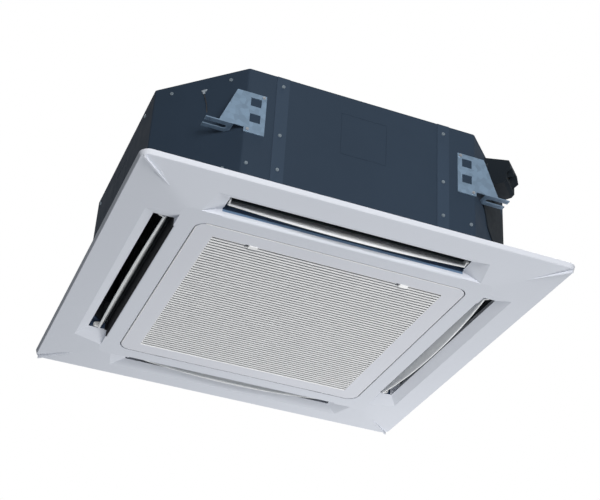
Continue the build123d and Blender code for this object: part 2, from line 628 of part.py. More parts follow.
def corner_plane(corner):
    """Upright plane on a corner face of the body, facing out; its x runs level along the face, its y up."""
    sign_x, sign_y, leg = corner_normals[corner]
    middle = body_half - leg / 2
    return Plane(origin=(sign_x * middle, sign_y * middle, 0), x_dir=(-sign_y, sign_x, 0), z_dir=(sign_x, sign_y, 0))


pipe_plane = corner_plane("nr")
pipe_hole = (70.0, 64.0)
drain_plane = side_plane(1, body_half)
grommet_at = (100.0, 110.0)
motor_hole_r = MOTOR_R + 4.0


def wall_holes(depth, grow):
    """Openings through the body's wall for pipes, drain and cable, as one cutting body."""
    with BuildPart() as cutter:
        with BuildSketch(pipe_plane.offset(1)):
            with Locations((0, PIPE_Z)):
                RectangleRounded(pipe_hole[0] + grow, pipe_hole[1] + grow, 8)
        extrude(amount=-depth - 1)
        with BuildSketch(drain_plane.offset(1)):
            with Locations((DRAIN_Y, DRAIN_Z)):
                Circle(HOSE_R + 2 + grow + SEAT_CLEAR)
            with Locations(grommet_at):
                Circle(9 + grow + SEAT_CLEAR)
        extrude(amount=-depth - 1)
    return cutter.part


wall_height = lid_bottom - BODY_BOTTOM
with BuildPart() as casing_wrap:
    extrude(casing_profile(0, BODY_BOTTOM), amount=wall_height)
    extrude(casing_profile(SHEET + FLANGE_WIDTH, BODY_BOTTOM), amount=SHEET, mode=Mode.SUBTRACT)
    extrude(casing_profile(SHEET, BODY_BOTTOM + SHEET), amount=wall_height, mode=Mode.SUBTRACT)
    add(wall_holes(SHEET + 1, 0), mode=Mode.SUBTRACT)
    # pressed outline of the knock-out for a branch duct, on every side
    for side in range(4):
        with BuildSketch(side_plane(side, body_half)):
            with Locations((0, KNOCKOUT_Z)):
                Rectangle(KNOCKOUT_SIDE, KNOCKOUT_SIDE)
                Rectangle(KNOCKOUT_SIDE - 2 * GROOVE_WIDTH, KNOCKOUT_SIDE - 2 * GROOVE_WIDTH, mode=Mode.SUBTRACT)
        extrude(amount=-GROOVE_DEPTH, mode=Mode.SUBTRACT)
save(casing_wrap, "casing_wrap")

bead_length = 2 * body_half - 2 * FAR_CHAMFER - 40
with BuildPart() as casing_top:
    extrude(casing_profile(0, lid_bottom), amount=SHEET)
    with BuildSketch(Plane.XY.offset(body_top)):
        with GridLocations(0, 150, 1, 4):
            SlotOverall(bead_length, 22)
    extrude(amount=2.5)
    chamfer(casing_top.edges().group_by(Axis.Z)[-1], 1.5)
save(casing_top, "casing_top")

strip_near = body_half - NEAR_CHAMFER - STRIP_IN
strip_far = body_half - FAR_CHAMFER - STRIP_IN
with BuildPart() as seam_strips:
    for side, strip_x in ((0, strip_near), (2, strip_far)):
        with BuildSketch(side_plane(side, body_half)):
            with Locations((0, BODY_BOTTOM + BODY_HEIGHT / 2)):
                with GridLocations(2 * strip_x, 0, 2, 1):
                    Rectangle(STRIP_WIDTH, BODY_HEIGHT)
        extrude(amount=STRIP_THICK)
save(seam_strips, "seam_strips")


def screw(plane, spots):
    """Pan-head screws with a cross recess, set on a plane at the given spots."""
    with BuildPart() as heads:
        for spot in spots:
            with BuildSketch(plane):
                with Locations(spot):
                    Circle(SCREW_HEAD_R)
            extrude(amount=SCREW_HEAD_H, taper=16)
            with BuildSketch(plane.offset(SCREW_HEAD_H)):
                with Locations(spot):
                    Rectangle(3.6, 0.9)
                    Rectangle(0.9, 3.6)
            extrude(amount=-1.2, mode=Mode.SUBTRACT)
    return heads.part


with BuildPart() as casing_screws:
    for side, strip_x in ((0, strip_near), (2, strip_far)):
        spots = [(x, z) for x in (-strip_x, strip_x) for z in STRIP_SCREW_Z]
        add(screw(side_plane(side, body_half + STRIP_THICK), spots))
    add(screw(side_plane(0, body_half), [(-252, 67), (252, 67)]))
    add(screw(side_plane(1, body_half), [(x, z) for x in (-190, 190) for z in (67, 285)]))
    add(screw(side_plane(3, body_half), [(x, z) for x in (-190, 190) for z in (67, 285)]))
    for corner in ("nl", "fl", "fr"):
        add(screw(corner_plane(corner), [(x, z) for x in (-70, 70) for z in (60, 285)]))
save(casing_screws, "casing_screws")


# ================================================================ hanger brackets
def hanger(corner):
    """A plate on the side face with a level slotted foot that reaches out beside the corner face."""
    sign_x, sign_y, leg = corner_normals[corner]
    face_end = body_half - leg
    plate_in = face_end + BRACKET_THICK - BRACKET_WIDTH
    plate_out = face_end + BRACKET_THICK
    middle = (plate_in + plate_out) / 2
    wall = Plane(origin=(0, sign_y * body_half, 0), x_dir=(1, 0, 0), z_dir=(0, -1, 0))
    line_sum = 2 * body_half - leg + BRACKET_THICK
    foot_in = body_half + BRACKET_THICK - 2 * FOOT_HALF - 2
    with BuildPart() as bracket:
        with BuildSketch(wall):
            Polygon((sign_x * plate_in, BRACKET_LOW), (sign_x * plate_out, BRACKET_LOW),
                    (sign_x * plate_out, FOOT_Z + 1), (sign_x * FOOT_ROOT_X, FOOT_Z + 1),
                    (sign_x * FOOT_ROOT_X, FOOT_Z), (sign_x * BRACKET_ROOT_X, FOOT_Z),
                    (sign_x * BRACKET_TOP_X, BRACKET_HIGH), (sign_x * plate_in, BRACKET_HIGH), align=None)
            with Locations(*[(sign_x * middle, z) for z in WINDOW_Z]):
                Rectangle(*WINDOW_SIZE, mode=Mode.SUBTRACT)
        extrude(amount=BRACKET_THICK if sign_y < 0 else -BRACKET_THICK)
        with BuildSketch(Plane.XY.offset(FOOT_Z)):
            Polygon((sign_x * FOOT_ROOT_X, sign_y * (body_half + BRACKET_THICK)),
                    (sign_x * FOOT_END_X, sign_y * (body_half + BRACKET_THICK)),
                    (sign_x * FOOT_END_X, sign_y * foot_in),
                    (sign_x * max(line_sum - foot_in, FOOT_ROOT_X + 2), sign_y * foot_in),
                    (sign_x * FOOT_ROOT_X, sign_y * max(line_sum - FOOT_ROOT_X, foot_in + 2)), align=None)
            slot_run = FOOT_END_X - BOLT_X + 2 * BOLT_SLOT_R
            with Locations((sign_x * (BOLT_X + slot_run / 2), sign_y * BOLT_Y)):
                SlotCenterToCenter(slot_run, 2 * BOLT_SLOT_R, mode=Mode.SUBTRACT)
        extrude(amount=BRACKET_THICK)
    save(bracket, f"hanger_bracket_{corner}")


for corner in corner_normals:
    hanger(corner)
with BuildPart() as bracket_screws:
    for side, leg in ((0, NEAR_CHAMFER), (2, FAR_CHAMFER)):
        inner_x = body_half - leg + BRACKET_THICK - BRACKET_WIDTH + 6.5
        outer_x = body_half - leg - 5
        spots = [(sign * x, z) for sign in (-1, 1) for x, z in ((inner_x, 236), (outer_x, 148))]
        add(screw(side_plane(side, body_half + BRACKET_THICK), spots))
save(bracket_screws, "bracket_screws")

# ================================================================ insulation, drain pan, coil
foam_inset = SHEET + FOAM
foam_top = lid_bottom - TOP_FOAM
with BuildPart() as side_insulation:
    extrude(casing_profile(SHEET, PAN_TOP), amount=foam_top - PAN_TOP)
    extrude(casing_profile(foam_inset, PAN_TOP), amount=foam_top - PAN_TOP, mode=Mode.SUBTRACT)
    add(wall_holes(foam_inset + 20, 0), mode=Mode.SUBTRACT)
save(side_insulation, "side_insulation")
with BuildPart() as top_insulation:
    extrude(casing_profile(SHEET, foam_top), amount=TOP_FOAM)
    with BuildSketch(Plane.XY.offset(foam_top)):
        Circle(MOUNT_RADIUS + 20)
    extrude(amount=TOP_FOAM, mode=Mode.SUBTRACT)
save(top_insulation, "top_insulation")

sump_r = PUMP_R + 4.0
screw_bore_top = 25.0
with BuildPart() as drain_pan:
    extrude(casing_profile(SHEET, pan_bottom), amount=PAN_TOP - pan_bottom)
    extrude(ring_profile(PAN_OPENING_HALF, PAN_OPENING_CORNER, pan_bottom), amount=PAN_TOP - pan_bottom,
            mode=Mode.SUBTRACT)
    with BuildSketch(Plane.XY.offset(TROUGH_FLOOR)):
        RectangleRounded(2 * TROUGH_OUTER, 2 * TROUGH_OUTER, COIL_CORNER + TROUGH_OUTER - COIL_OUTER)
        RectangleRounded(2 * TROUGH_INNER, 2 * TROUGH_INNER, PAN_OPENING_CORNER + TROUGH_INNER - PAN_OPENING_HALF,
                         mode=Mode.SUBTRACT)
        # rests that carry the coil above the trough's floor
        with PolarLocations((TROUGH_INNER + TROUGH_OUTER) / 2, 4, start_angle=90):
            Rectangle(TROUGH_OUTER - TROUGH_INNER + 2, 24, mode=Mode.SUBTRACT)
    extrude(amount=PAN_TOP - TROUGH_FLOOR, mode=Mode.SUBTRACT)
    with BuildSketch(Plane.XY.offset(COIL_BOTTOM)):
        with PolarLocations((TROUGH_INNER + TROUGH_OUTER) / 2, 4, start_angle=90):
            Rectangle(TROUGH_OUTER - TROUGH_INNER, 24.5)
    extrude(amount=PAN_TOP - COIL_BOTTOM, mode=Mode.SUBTRACT)
    with BuildSketch(Plane.XY.offset(TROUGH_FLOOR - 13)):
        with Locations((PUMP_AT, -PUMP_AT)):
            Circle(sump_r)
    extrude(amount=PAN_TOP, mode=Mode.SUBTRACT)
    with BuildSketch(Plane.XY.offset(pan_bottom)):
        with GridLocations(2 * lug_at, 2 * lug_at, 2, 2):
            Circle(3.5)
    extrude(amount=screw_bore_top - pan_bottom, mode=Mode.SUBTRACT)
    extrude(slot_profiles(-0.5, pan_bottom), amount=PAN_TOP - pan_bottom, mode=Mode.SUBTRACT)
save(drain_pan, "drain_pan")

coil_inner = COIL_OUTER - COIL_THICK
coil_high = foam_top - COIL_BOTTOM - 0.3
fin_count = int(2 * (COIL_OUTER - COIL_CORNER) / FIN_PITCH)
with BuildPart() as heat_exchanger:
    with BuildSketch(Plane.XY.offset(COIL_BOTTOM)):
        RectangleRounded(2 * COIL_OUTER, 2 * COIL_OUTER, COIL_CORNER)
        RectangleRounded(2 * coil_inner, 2 * coil_inner, COIL_CORNER - COIL_THICK, mode=Mode.SUBTRACT)
        gap_size = COIL_OUTER - COIL_GAP + 10
        with Locations((COIL_GAP + gap_size / 2, -COIL_GAP - gap_size / 2)):
            Rectangle(gap_size, gap_size, mode=Mode.SUBTRACT)
        with GridLocations(FIN_PITCH, 2 * COIL_OUTER, fin_count, 2):
            Rectangle(FIN_GROOVE, 6, mode=Mode.SUBTRACT)
        with GridLocations(2 * COIL_OUTER, FIN_PITCH, 2, fin_count):
            Rectangle(6, FIN_GROOVE, mode=Mode.SUBTRACT)
        with GridLocations(FIN_PITCH, 2 * coil_inner, fin_count, 2):
            Rectangle(FIN_GROOVE, 6, mode=Mode.SUBTRACT)
        with GridLocations(2 * coil_inner, FIN_PITCH, 2, fin_count):
            Rectangle(6, FIN_GROOVE, mode=Mode.SUBTRACT)
    extrude(amount=coil_high)
save(heat_exchanger, "heat_exchanger")

coil_middle = (COIL_OUTER + coil_inner) / 2
end_x_plane = Plane(origin=(COIL_GAP, 0, 0), x_dir=(0, 1, 0), z_dir=(1, 0, 0))
end_y_plane = Plane(origin=(0, -COIL_GAP, 0), x_dir=(1, 0, 0), z_dir=(0, -1, 0))
end_planes = ((end_x_plane, -coil_middle), (end_y_plane, coil_middle))
bend_r = 12.0
tube_r = 4.0
bend_levels = [90 + 48 * i for i in range(4)]
with BuildPart() as coil_end_plates:
    for plane, middle in end_planes:
        with BuildSketch(plane):
            with Locations((middle, COIL_BOTTOM + coil_high / 2)):
                Rectangle(COIL_THICK + 4, coil_high)
        extrude(amount=COIL_END_PLATE)
save(coil_end_plates, "coil_end_plates")
with BuildPart() as coil_return_bends:
    for plane, middle in end_planes:
        seat = plane.offset(COIL_END_PLATE)
        for level in bend_levels:
            with BuildSketch(seat):
                with Locations((middle, level + bend_r)):
                    Circle(tube_r)
            centre = seat.from_local_coords((middle, level, 0))
            axis = Axis(centre, seat.x_dir)
            revolve(axis=axis, revolution_arc=180)
save(coil_return_bends, "coil_return_bends")


def corner_point(along, out, level):
    """A point given along and out from the pipe corner's face."""
    point = pipe_plane.from_local_coords((along, level, out))
    return (point.X, point.Y, point.Z)


gas_back = corner_point(GAS_OFFSET, -45, PIPE_Z)
liquid_back = corner_point(LIQUID_OFFSET, -45, PIPE_Z)
gas_header = (coil_middle, -240.0)
liquid_header = (232.0, -coil_middle)
stub_levels = [114 + 48 * i for i in range(4)]
pipe_end = NUT_OUT + NUT_SEAT
header_low = 76.0
header_high = 276.0
with BuildPart() as gas_line:
    add(pipe_run([(gas_header[0], gas_header[1], PIPE_Z), (gas_header[0], gas_back[0] + gas_back[1] - gas_header[0],
                                                          PIPE_Z), corner_point(GAS_OFFSET, pipe_end, PIPE_Z)],
                 GAS_R, 24))
    with BuildSketch(Plane.XY.offset(header_low)):
        with Locations(gas_header):
            Circle(GAS_R + 1)
    extrude(amount=header_high - header_low)
    fillet(gas_line.edges().group_by(Axis.Z)[0] + gas_line.edges().group_by(Axis.Z)[-1], 3)
    with BuildSketch(end_y_plane.offset(COIL_END_PLATE)):
        with Locations(*[(gas_header[0], level) for level in stub_levels]):
            Circle(tube_r)
    extrude(amount=-gas_header[1] - COIL_GAP - COIL_END_PLATE)
    with BuildSketch(pipe_plane.offset(pipe_end)):
        with Locations((GAS_OFFSET, PIPE_Z)):
            Circle(GAS_R - PIPE_WALL)
    extrude(amount=-PIPE_BORE, mode=Mode.SUBTRACT)
save(gas_line, "gas_line")
with BuildPart() as liquid_line:
    add(pipe_run([(liquid_header[0], liquid_header[1], PIPE_Z),
                  (liquid_back[0] + liquid_back[1] - liquid_header[1], liquid_header[1], PIPE_Z),
                  corner_point(LIQUID_OFFSET, pipe_end, PIPE_Z)], LIQUID_R, 18))
    with BuildSketch(Plane.XY.offset(header_low)):
        with Locations(liquid_header):
            Circle(LIQUID_R + 2)
    extrude(amount=header_high - header_low)
    fillet(liquid_line.edges().group_by(Axis.Z)[0] + liquid_line.edges().group_by(Axis.Z)[-1], 2)
    with BuildSketch(end_x_plane.offset(COIL_END_PLATE)):
        with Locations(*[(liquid_header[1], level) for level in stub_levels]):
            Circle(tube_r - 1)
    extrude(amount=liquid_header[0] - COIL_GAP - COIL_END_PLATE)
    with BuildSketch(pipe_plane.offset(pipe_end)):
        with Locations((LIQUID_OFFSET, PIPE_Z)):
            Circle(LIQUID_R - PIPE_WALL)
    extrude(amount=-PIPE_BORE, mode=Mode.SUBTRACT)
save(liquid_line, "liquid_line")

with BuildPart() as flare_nuts:
    for along, bore, across in ((GAS_OFFSET, GAS_R, GAS_NUT), (LIQUID_OFFSET, LIQUID_R, LIQUID_NUT)):
        with BuildSketch(pipe_plane.offset(NUT_OUT)):
            with Locations((along, PIPE_Z)):
                RegularPolygon(across / 2, 6, major_radius=False)
                Circle(bore + SEAT_CLEAR, mode=Mode.SUBTRACT)
        extrude(amount=NUT_SEAT + NUT_MOUTH)
        with BuildSketch(pipe_plane.offset(pipe_end)):
            with Locations((along, PIPE_Z)):
                Circle(bore + MOUTH_CLEAR)
        extrude(amount=NUT_MOUTH, mode=Mode.SUBTRACT)
save(flare_nuts, "flare_nuts")

with BuildPart() as pipe_cover:
    with BuildSketch(pipe_plane):
        with Locations((0, COVER_HIGH - COVER_HALF)):
            Circle(COVER_HALF)
        with Locations((0, (COVER_LOW + COVER_HIGH - COVER_HALF) / 2)):
            Rectangle(2 * COVER_HALF, COVER_HIGH - COVER_HALF - COVER_LOW)
    extrude(amount=8)
    fillet(pipe_cover.edges().filter_by(GeomType.CIRCLE).group_by(Axis((0, 0, 0), (1, -1, 0)))[-1], 3)
    hood_plane = Plane(origin=pipe_plane.origin, x_dir=pipe_plane.z_dir, z_dir=-pipe_plane.x_dir)
    with BuildSketch(hood_plane):
        Polygon(*HOOD_SECTION, (HOOD_OUT, 254), (HOOD_OUT - 2.5, 277), (0, COVER_HIGH - 3), align=None)
    extrude(amount=HOOD_HALF, both=True)
    # flat apron on the corner face, below and beside the hood
    with BuildSketch(pipe_plane) as apron:
        Polygon(*APRON_CORNERS, align=None)
        fillet(apron.vertices(), 5)
    extrude(amount=APRON_THICK)
    for along, bore in ((GAS_OFFSET, 17.2), (LIQUID_OFFSET, 13.2)):
        with BuildSketch(pipe_plane.offset(-1)):
            with Locations((along, PIPE_Z)):
                Circle(bore)
        extrude(amount=HOOD_OUT + 5, mode=Mode.SUBTRACT)
    with BuildSketch(pipe_plane.offset(8)):
        with GridLocations(2 * COVER_HALF - 7, 0, 2, 1):
            with Locations((0, COVER_LOW + 8)):
                Circle(2.2)
    extrude(amount=-1.5, mode=Mode.SUBTRACT)
save(pipe_cover, "pipe_cover")

baffle_out = (COIL_GAP + COIL_END_PLATE + coil_inner + 3.0) / sqrt(2)
baffle_plane = Plane(origin=(baffle_out / sqrt(2), -baffle_out / sqrt(2), 0), x_dir=(1, 1, 0), z_dir=(1, -1, 0))
baffle_half = (coil_inner - 1.0 - COIL_GAP - COIL_END_PLATE) / sqrt(2)
with BuildPart() as coil_baffle:
    with BuildSketch(baffle_plane):
        with Locations((0, (PAN_TOP + foam_top) / 2)):
            Rectangle(2 * baffle_half, foam_top - PAN_TOP)
    extrude(amount=1.5, both=True)
save(coil_baffle, "coil_baffle")

# ================================================================ bell mouth
bell_low = pan_bottom - BELL_WALL
box_half = (185.0, 35.0)
box_y = -257.0
rise = 62.0 - bell_low
with BuildPart() as bell_mouth:
    extrude(ring_profile(PAN_OPENING_HALF + 4, PAN_OPENING_CORNER + 4, bell_low), amount=BELL_WALL)
    with BuildSketch(Plane.XY.offset(bell_low)):
        Circle(BELL_R)
        with Locations((0, box_y)):
            Rectangle(2 * box_half[0] + 1, 2 * box_half[1] + 1)
    extrude(amount=BELL_WALL, mode=Mode.SUBTRACT)
    with BuildSketch(Plane.XZ):
        with BuildLine():
            outer = EllipticalCenterArc((BELL_R, bell_low + rise), BELL_R - THROAT_R, rise, 180, arc_size=90)
            inner = EllipticalCenterArc((BELL_R, bell_low + rise), BELL_R - THROAT_R - BELL_WALL, rise - BELL_WALL,
                                        180, arc_size=90)
            Line(outer @ 1, inner @ 1)
            Polyline(outer @ 0, (THROAT_R, BELL_TOP), (THROAT_R + BELL_WALL, BELL_TOP), inner @ 0)
        make_face()
    revolve(axis=Axis.Z)
save(bell_mouth, "bell_mouth")

# ================================================================ turbo fan and its motor
shroud_low = (FAN_EYE_R, 70.0)
shroud_bend = (FAN_EYE_R, 84.0)
shroud_out = (FAN_R, 112.0)
back_low = FAN_TOP - FAN_WALL
boss_low = HUB_LOW - 8
boss_high = HUB_LOW + 6
with BuildPart() as fan_blades:
    with BuildSketch(Plane.XY.offset(shroud_bend[1])):
        with PolarLocations(0, FAN_BLADES):
            with BuildLine():
                ThreePointArc((150, 0), (198, -38), (214, -96))
                ThreePointArc((152, 6), (203, -34), (218.5, -95))
                Line((150, 0), (152, 6))
                Line((214, -96), (218.5, -95))
            make_face()
    extrude(amount=FAN_TOP - 1 - shroud_bend[1])
    with BuildSketch(Plane.XZ):
        Polygon((100, FAN_TOP), (148, 128), (FAN_EYE_R, shroud_bend[1] - 1), (FAN_EYE_R + 1, shroud_bend[1] - 1),
                (FAN_R - 0.5, shroud_out[1] - 1), (FAN_R - 0.5, FAN_TOP), align=None)
    revolve(axis=Axis.Z, mode=Mode.INTERSECT)
with BuildPart() as turbo_fan:
    with BuildSketch(Plane.XZ):
        with BuildLine():
            Polyline((HUB_R - FAN_WALL, FAN_TOP), (FAN_R, FAN_TOP), (FAN_R, back_low), (HUB_R + 4, back_low),
                     (HUB_R, back_low - 4), (HUB_R - 6, HUB_LOW + 6), (HUB_R - 12, HUB_LOW), (16, HUB_LOW),
                     (16, boss_low), (SHAFT_R, boss_low), (SHAFT_R, boss_high), (16, boss_high),
                     (16, HUB_LOW + FAN_WALL), (HUB_R - 14, HUB_LOW + FAN_WALL), (HUB_R - 9, HUB_LOW + 8),
                     (HUB_R - FAN_WALL, FAN_TOP - 8), close=True)
        make_face()
        Polygon(shroud_low, (FAN_EYE_R + FAN_WALL, shroud_low[1]), (FAN_EYE_R + FAN_WALL, shroud_bend[1] - 1),
                (FAN_R, shroud_out[1] - FAN_WALL), shroud_out, shroud_bend, align=None)
    revolve(axis=Axis.Z)
    add(fan_blades.part)
    with BuildSketch(Plane.XY.offset(HUB_LOW - 1)):
        with PolarLocations(52, 8):
            Circle(6)
    extrude(amount=FAN_WALL + 2, mode=Mode.SUBTRACT)
save(turbo_fan, "turbo_fan")

shaft_high = MOTOR_LOW + 16
nut_low = boss_low - 9
with BuildPart() as motor_shaft:
    with BuildSketch(Plane.XY.offset(nut_low - 3)):
        Circle(SHAFT_R)
    extrude(amount=shaft_high - nut_low + 3)
    chamfer(motor_shaft.edges().group_by(Axis.Z)[0], 1)
save(motor_shaft, "motor_shaft")
with BuildPart() as fan_nut:
    with BuildSketch(Plane.XY.offset(nut_low)):
        RegularPolygon(9.5, 6, major_radius=False)
        Circle(SHAFT_R + SEAT_CLEAR, mode=Mode.SUBTRACT)
    extrude(amount=boss_low - nut_low)
    with BuildSketch(Plane.XY.offset(boss_low - 2)):
        Circle(13)
        Circle(SHAFT_R + SEAT_CLEAR, mode=Mode.SUBTRACT)
    extrude(amount=2)
save(fan_nut, "fan_nut")

ear_level = MOTOR_HIGH - 10
with BuildPart() as fan_motor:
    with BuildSketch(Plane.XY.offset(MOTOR_LOW)):
        Circle(MOTOR_R)
    extrude(amount=MOTOR_HIGH - MOTOR_LOW)
    fillet(fan_motor.edges().filter_by(GeomType.CIRCLE), 8)
    with BuildSketch(Plane.XY.offset(ear_level)):
        with PolarLocations(0, 3, start_angle=30):
            SlotCenterToCenter(2 * MOUNT_RADIUS, 24)
            Rectangle(2 * MOUNT_RADIUS + 40, 30, mode=Mode.SUBTRACT, align=(Align.MAX, Align.CENTER))
        Circle(MOTOR_R - 2)
    extrude(amount=3)
    with BuildSketch(Plane.XY.offset(MOTOR_LOW)):
        with PolarLocations((MOTOR_R + 20) / 2, 12):
            SlotOverall(26, 4)
    extrude(amount=2.5, mode=Mode.SUBTRACT)
    with BuildSketch(Plane.XY.offset(MOTOR_LOW)):
        Circle(SHAFT_R + RUN_CLEAR)
    extrude(amount=shaft_high - MOTOR_LOW + 1, mode=Mode.SUBTRACT)
save(fan_motor, "fan_motor")
bush_low = ear_level + 3
with BuildPart() as motor_bushes:
    with PolarLocations(MOUNT_RADIUS, 3, start_angle=30):
        with Locations((0, 0, bush_low)):
            Cylinder(9, lid_bottom - bush_low, align=(Align.CENTER, Align.CENTER, Align.MIN))
        with Locations((0, 0, bush_low + 8)):
            Torus(9, 2.5, mode=Mode.SUBTRACT)
save(motor_bushes, "motor_bushes")

# ================================================================ drain pump, hose, float switch
sump_floor = TROUGH_FLOOR - 13
pump_high = 150.0
with BuildPart() as drain_pump:
    with Locations((PUMP_AT, -PUMP_AT, 80)):
        Cylinder(PUMP_R, pump_high - 80, align=(Align.CENTER, Align.CENTER, Align.MIN))
    fillet(drain_pump.edges().filter_by(GeomType.CIRCLE).group_by(Axis.Z)[-1], 4)
    with Locations((PUMP_AT, -PUMP_AT, sump_floor + 6)):
        Cylinder(16, 80 - sump_floor - 6, align=(Align.CENTER, Align.CENTER, Align.MIN))
save(drain_pump, "drain_pump")
strap_out = PUMP_AT * sqrt(2) - baffle_out + 14
with BuildPart() as pump_bracket:
    with BuildSketch(baffle_plane.offset(1.5)):
        with Locations((0, pump_high + 10)):
            Rectangle(44, 24)
    extrude(amount=2)
    with BuildSketch(Plane(origin=baffle_plane.from_local_coords((0, pump_high, 1.5)), x_dir=(1, 1, 0),
                           z_dir=(0, 0, 1))):
        with Locations((0, -strap_out / 2)):
            Rectangle(44, strap_out)
        with Locations((0, 1.5 + baffle_out - PUMP_AT * sqrt(2))):
            Circle(HOSE_R + 0.5, mode=Mode.SUBTRACT)
    extrude(amount=2)
save(pump_bracket, "pump_bracket")

hose_end = body_half - 4
hose_lane = COIL_OUTER + 30.0
with BuildPart() as drain_hose:
    add(pipe_run([(PUMP_AT, -PUMP_AT, pump_high), (PUMP_AT, -PUMP_AT, DRAIN_Z), (PUMP_AT + 50, 16 - PUMP_AT, DRAIN_Z),
                  (hose_lane, DRAIN_Y - 110, DRAIN_Z), (hose_lane, DRAIN_Y - 30, DRAIN_Z),
                  (hose_lane + 13, DRAIN_Y, DRAIN_Z), (hose_end, DRAIN_Y, DRAIN_Z)], HOSE_R, HOSE_BEND))
save(drain_hose, "drain_hose")
with BuildPart() as drain_socket:
    with BuildSketch(drain_plane):
        with Locations((DRAIN_Y, DRAIN_Z)):
            Circle(DRAIN_R)
    extrude(amount=45)
    with BuildSketch(drain_plane):
        with Locations((DRAIN_Y, DRAIN_Z)):
            RectangleRounded(48, 48, 6)
    extrude(amount=3)
    with BuildSketch(drain_plane):
        with Locations((DRAIN_Y, DRAIN_Z)):
            Circle(DRAIN_R - 3)
    extrude(amount=45, mode=Mode.SUBTRACT)
    with BuildSketch(drain_plane.offset(-4)):
        with Locations((DRAIN_Y, DRAIN_Z)):
            Circle(HOSE_R + 2)
            Circle(HOSE_R, mode=Mode.SUBTRACT)
    extrude(amount=7)
save(drain_socket, "drain_socket")

float_at = (318.0, -266.0)
float_r = 8.5
stem_r = 3.0
arm_level = 132.0
with BuildPart() as float_stem:
    with Locations((*float_at, TROUGH_FLOOR)):
        Cylinder(stem_r, arm_level - TROUGH_FLOOR, align=(Align.CENTER, Align.CENTER, Align.MIN))
    with Locations((*float_at, TROUGH_FLOOR + FLOAT_HEIGHT + FLOAT_TRAVEL + 1.3)):
        Cylinder(float_r, 8, align=(Align.CENTER, Align.CENTER, Align.MIN))
    # the arm reaches back to the baffle
    float_along = (float_at[0] + float_at[1]) / sqrt(2)
    float_away = (float_at[0] - float_at[1]) / sqrt(2) - baffle_out
    with BuildSketch(Plane(origin=baffle_plane.from_local_coords((0, arm_level, 0)), x_dir=(1, 1, 0),
                           z_dir=(0, 0, 1))):
        with Locations((float_along, -(1.5 + float_away + 8) / 2)):
            Rectangle(16, float_away + 8 - 1.5)
    extrude(amount=3)
save(float_stem, "float_stem")
with BuildPart() as float_body:
    with Locations((*float_at, TROUGH_FLOOR + 1)):
        Cylinder(float_r, FLOAT_HEIGHT, align=(Align.CENTER, Align.CENTER, Align.MIN))
    fillet(float_body.edges().filter_by(GeomType.CIRCLE), 1.5)
    with Locations((*float_at, TROUGH_FLOOR)):
        Cylinder(stem_r + 0.35, FLOAT_HEIGHT + 2, align=(Align.CENTER, Align.CENTER, Align.MIN), mode=Mode.SUBTRACT)
save(float_body, "float")

# ================================================================ control box
box_top = 60.0
box_wall = 1.5
with BuildPart() as control_box:
    with Locations((0, box_y, BODY_BOTTOM)):
        Box(2 * box_half[0], 2 * box_half[1], box_top - BODY_BOTTOM, align=(Align.CENTER, Align.CENTER, Align.MIN))
    fillet(control_box.edges().filter_by(Axis.Z), 4)
    with Locations((0, box_y, BODY_BOTTOM)):
        Box(2 * (box_half[0] - box_wall), 2 * (box_half[1] - box_wall), box_top - BODY_BOTTOM - box_wall,
            align=(Align.CENTER, Align.CENTER, Align.MIN), mode=Mode.SUBTRACT)
    with GridLocations(2 * (box_half[0] - 8), 2 * (box_half[1] - 8), 2, 2):
        with Locations((0, box_y, BODY_BOTTOM)):
            Cylinder(4, box_top - BODY_BOTTOM - 1, align=(Align.CENTER, Align.CENTER, Align.MIN))
save(control_box, "control_box")
with BuildPart() as control_box_cover:
    with Locations((0, box_y, BODY_BOTTOM)):
        Box(2 * box_half[0], 2 * box_half[1], box_wall, align=(Align.CENTER, Align.CENTER, Align.MAX))
    fillet(control_box_cover.edges().filter_by(Axis.Z), 4)
    add(screw(Plane(origin=(0, box_y, BODY_BOTTOM - box_wall), x_dir=(1, 0, 0), z_dir=(0, 0, -1)),
              [(x, y) for x in (8 - box_half[0], box_half[0] - 8) for y in (8 - box_half[1], box_half[1] - 8)]))
save(control_box_cover, "control_box_cover")
board_z = box_top - box_wall - 8
with BuildPart() as circuit_board:
    with Locations((-40, box_y, board_z)):
        Box(240, 52, 1.6, align=(Align.CENTER, Align.CENTER, Align.MIN))
        with GridLocations(220, 40, 2, 2):
            Cylinder(3, box_top - box_wall - board_z, align=(Align.CENTER, Align.CENTER, Align.MIN))
    with Locations((-120, box_y, board_z), (-92, box_y + 8, board_z)):
        Cylinder(10, 22, align=(Align.CENTER, Align.CENTER, Align.MAX))
    with Locations((-40, box_y - 12, board_z), (-6, box_y - 12, board_z), (28, box_y - 12, board_z)):
        Box(20, 16, 14, align=(Align.CENTER, Align.CENTER, Align.MAX))
    with Locations((-20, box_y + 14, board_z), (50, box_y + 12, board_z)):
        Box(30, 10, 3, align=(Align.CENTER, Align.CENTER, Align.MAX))
save(circuit_board, "circuit_board")
with BuildPart() as terminal_block:
    with Locations((130, box_y, box_top - box_wall)):
        Box(64, 30, 18, align=(Align.CENTER, Align.CENTER, Align.MAX))
    with GridLocations(12, 0, 6, 1):
        with Locations((130, box_y, box_top - box_wall - 18)):
            Box(1.6, 30, 5, align=(Align.CENTER, Align.CENTER, Align.MAX))
    with GridLocations(12, 16, 5, 2):
        with Locations((130, box_y, box_top - box_wall - 18)):
            Cylinder(3.4, 2, align=(Align.CENTER, Align.CENTER, Align.MAX))
save(terminal_block, "terminal_block")
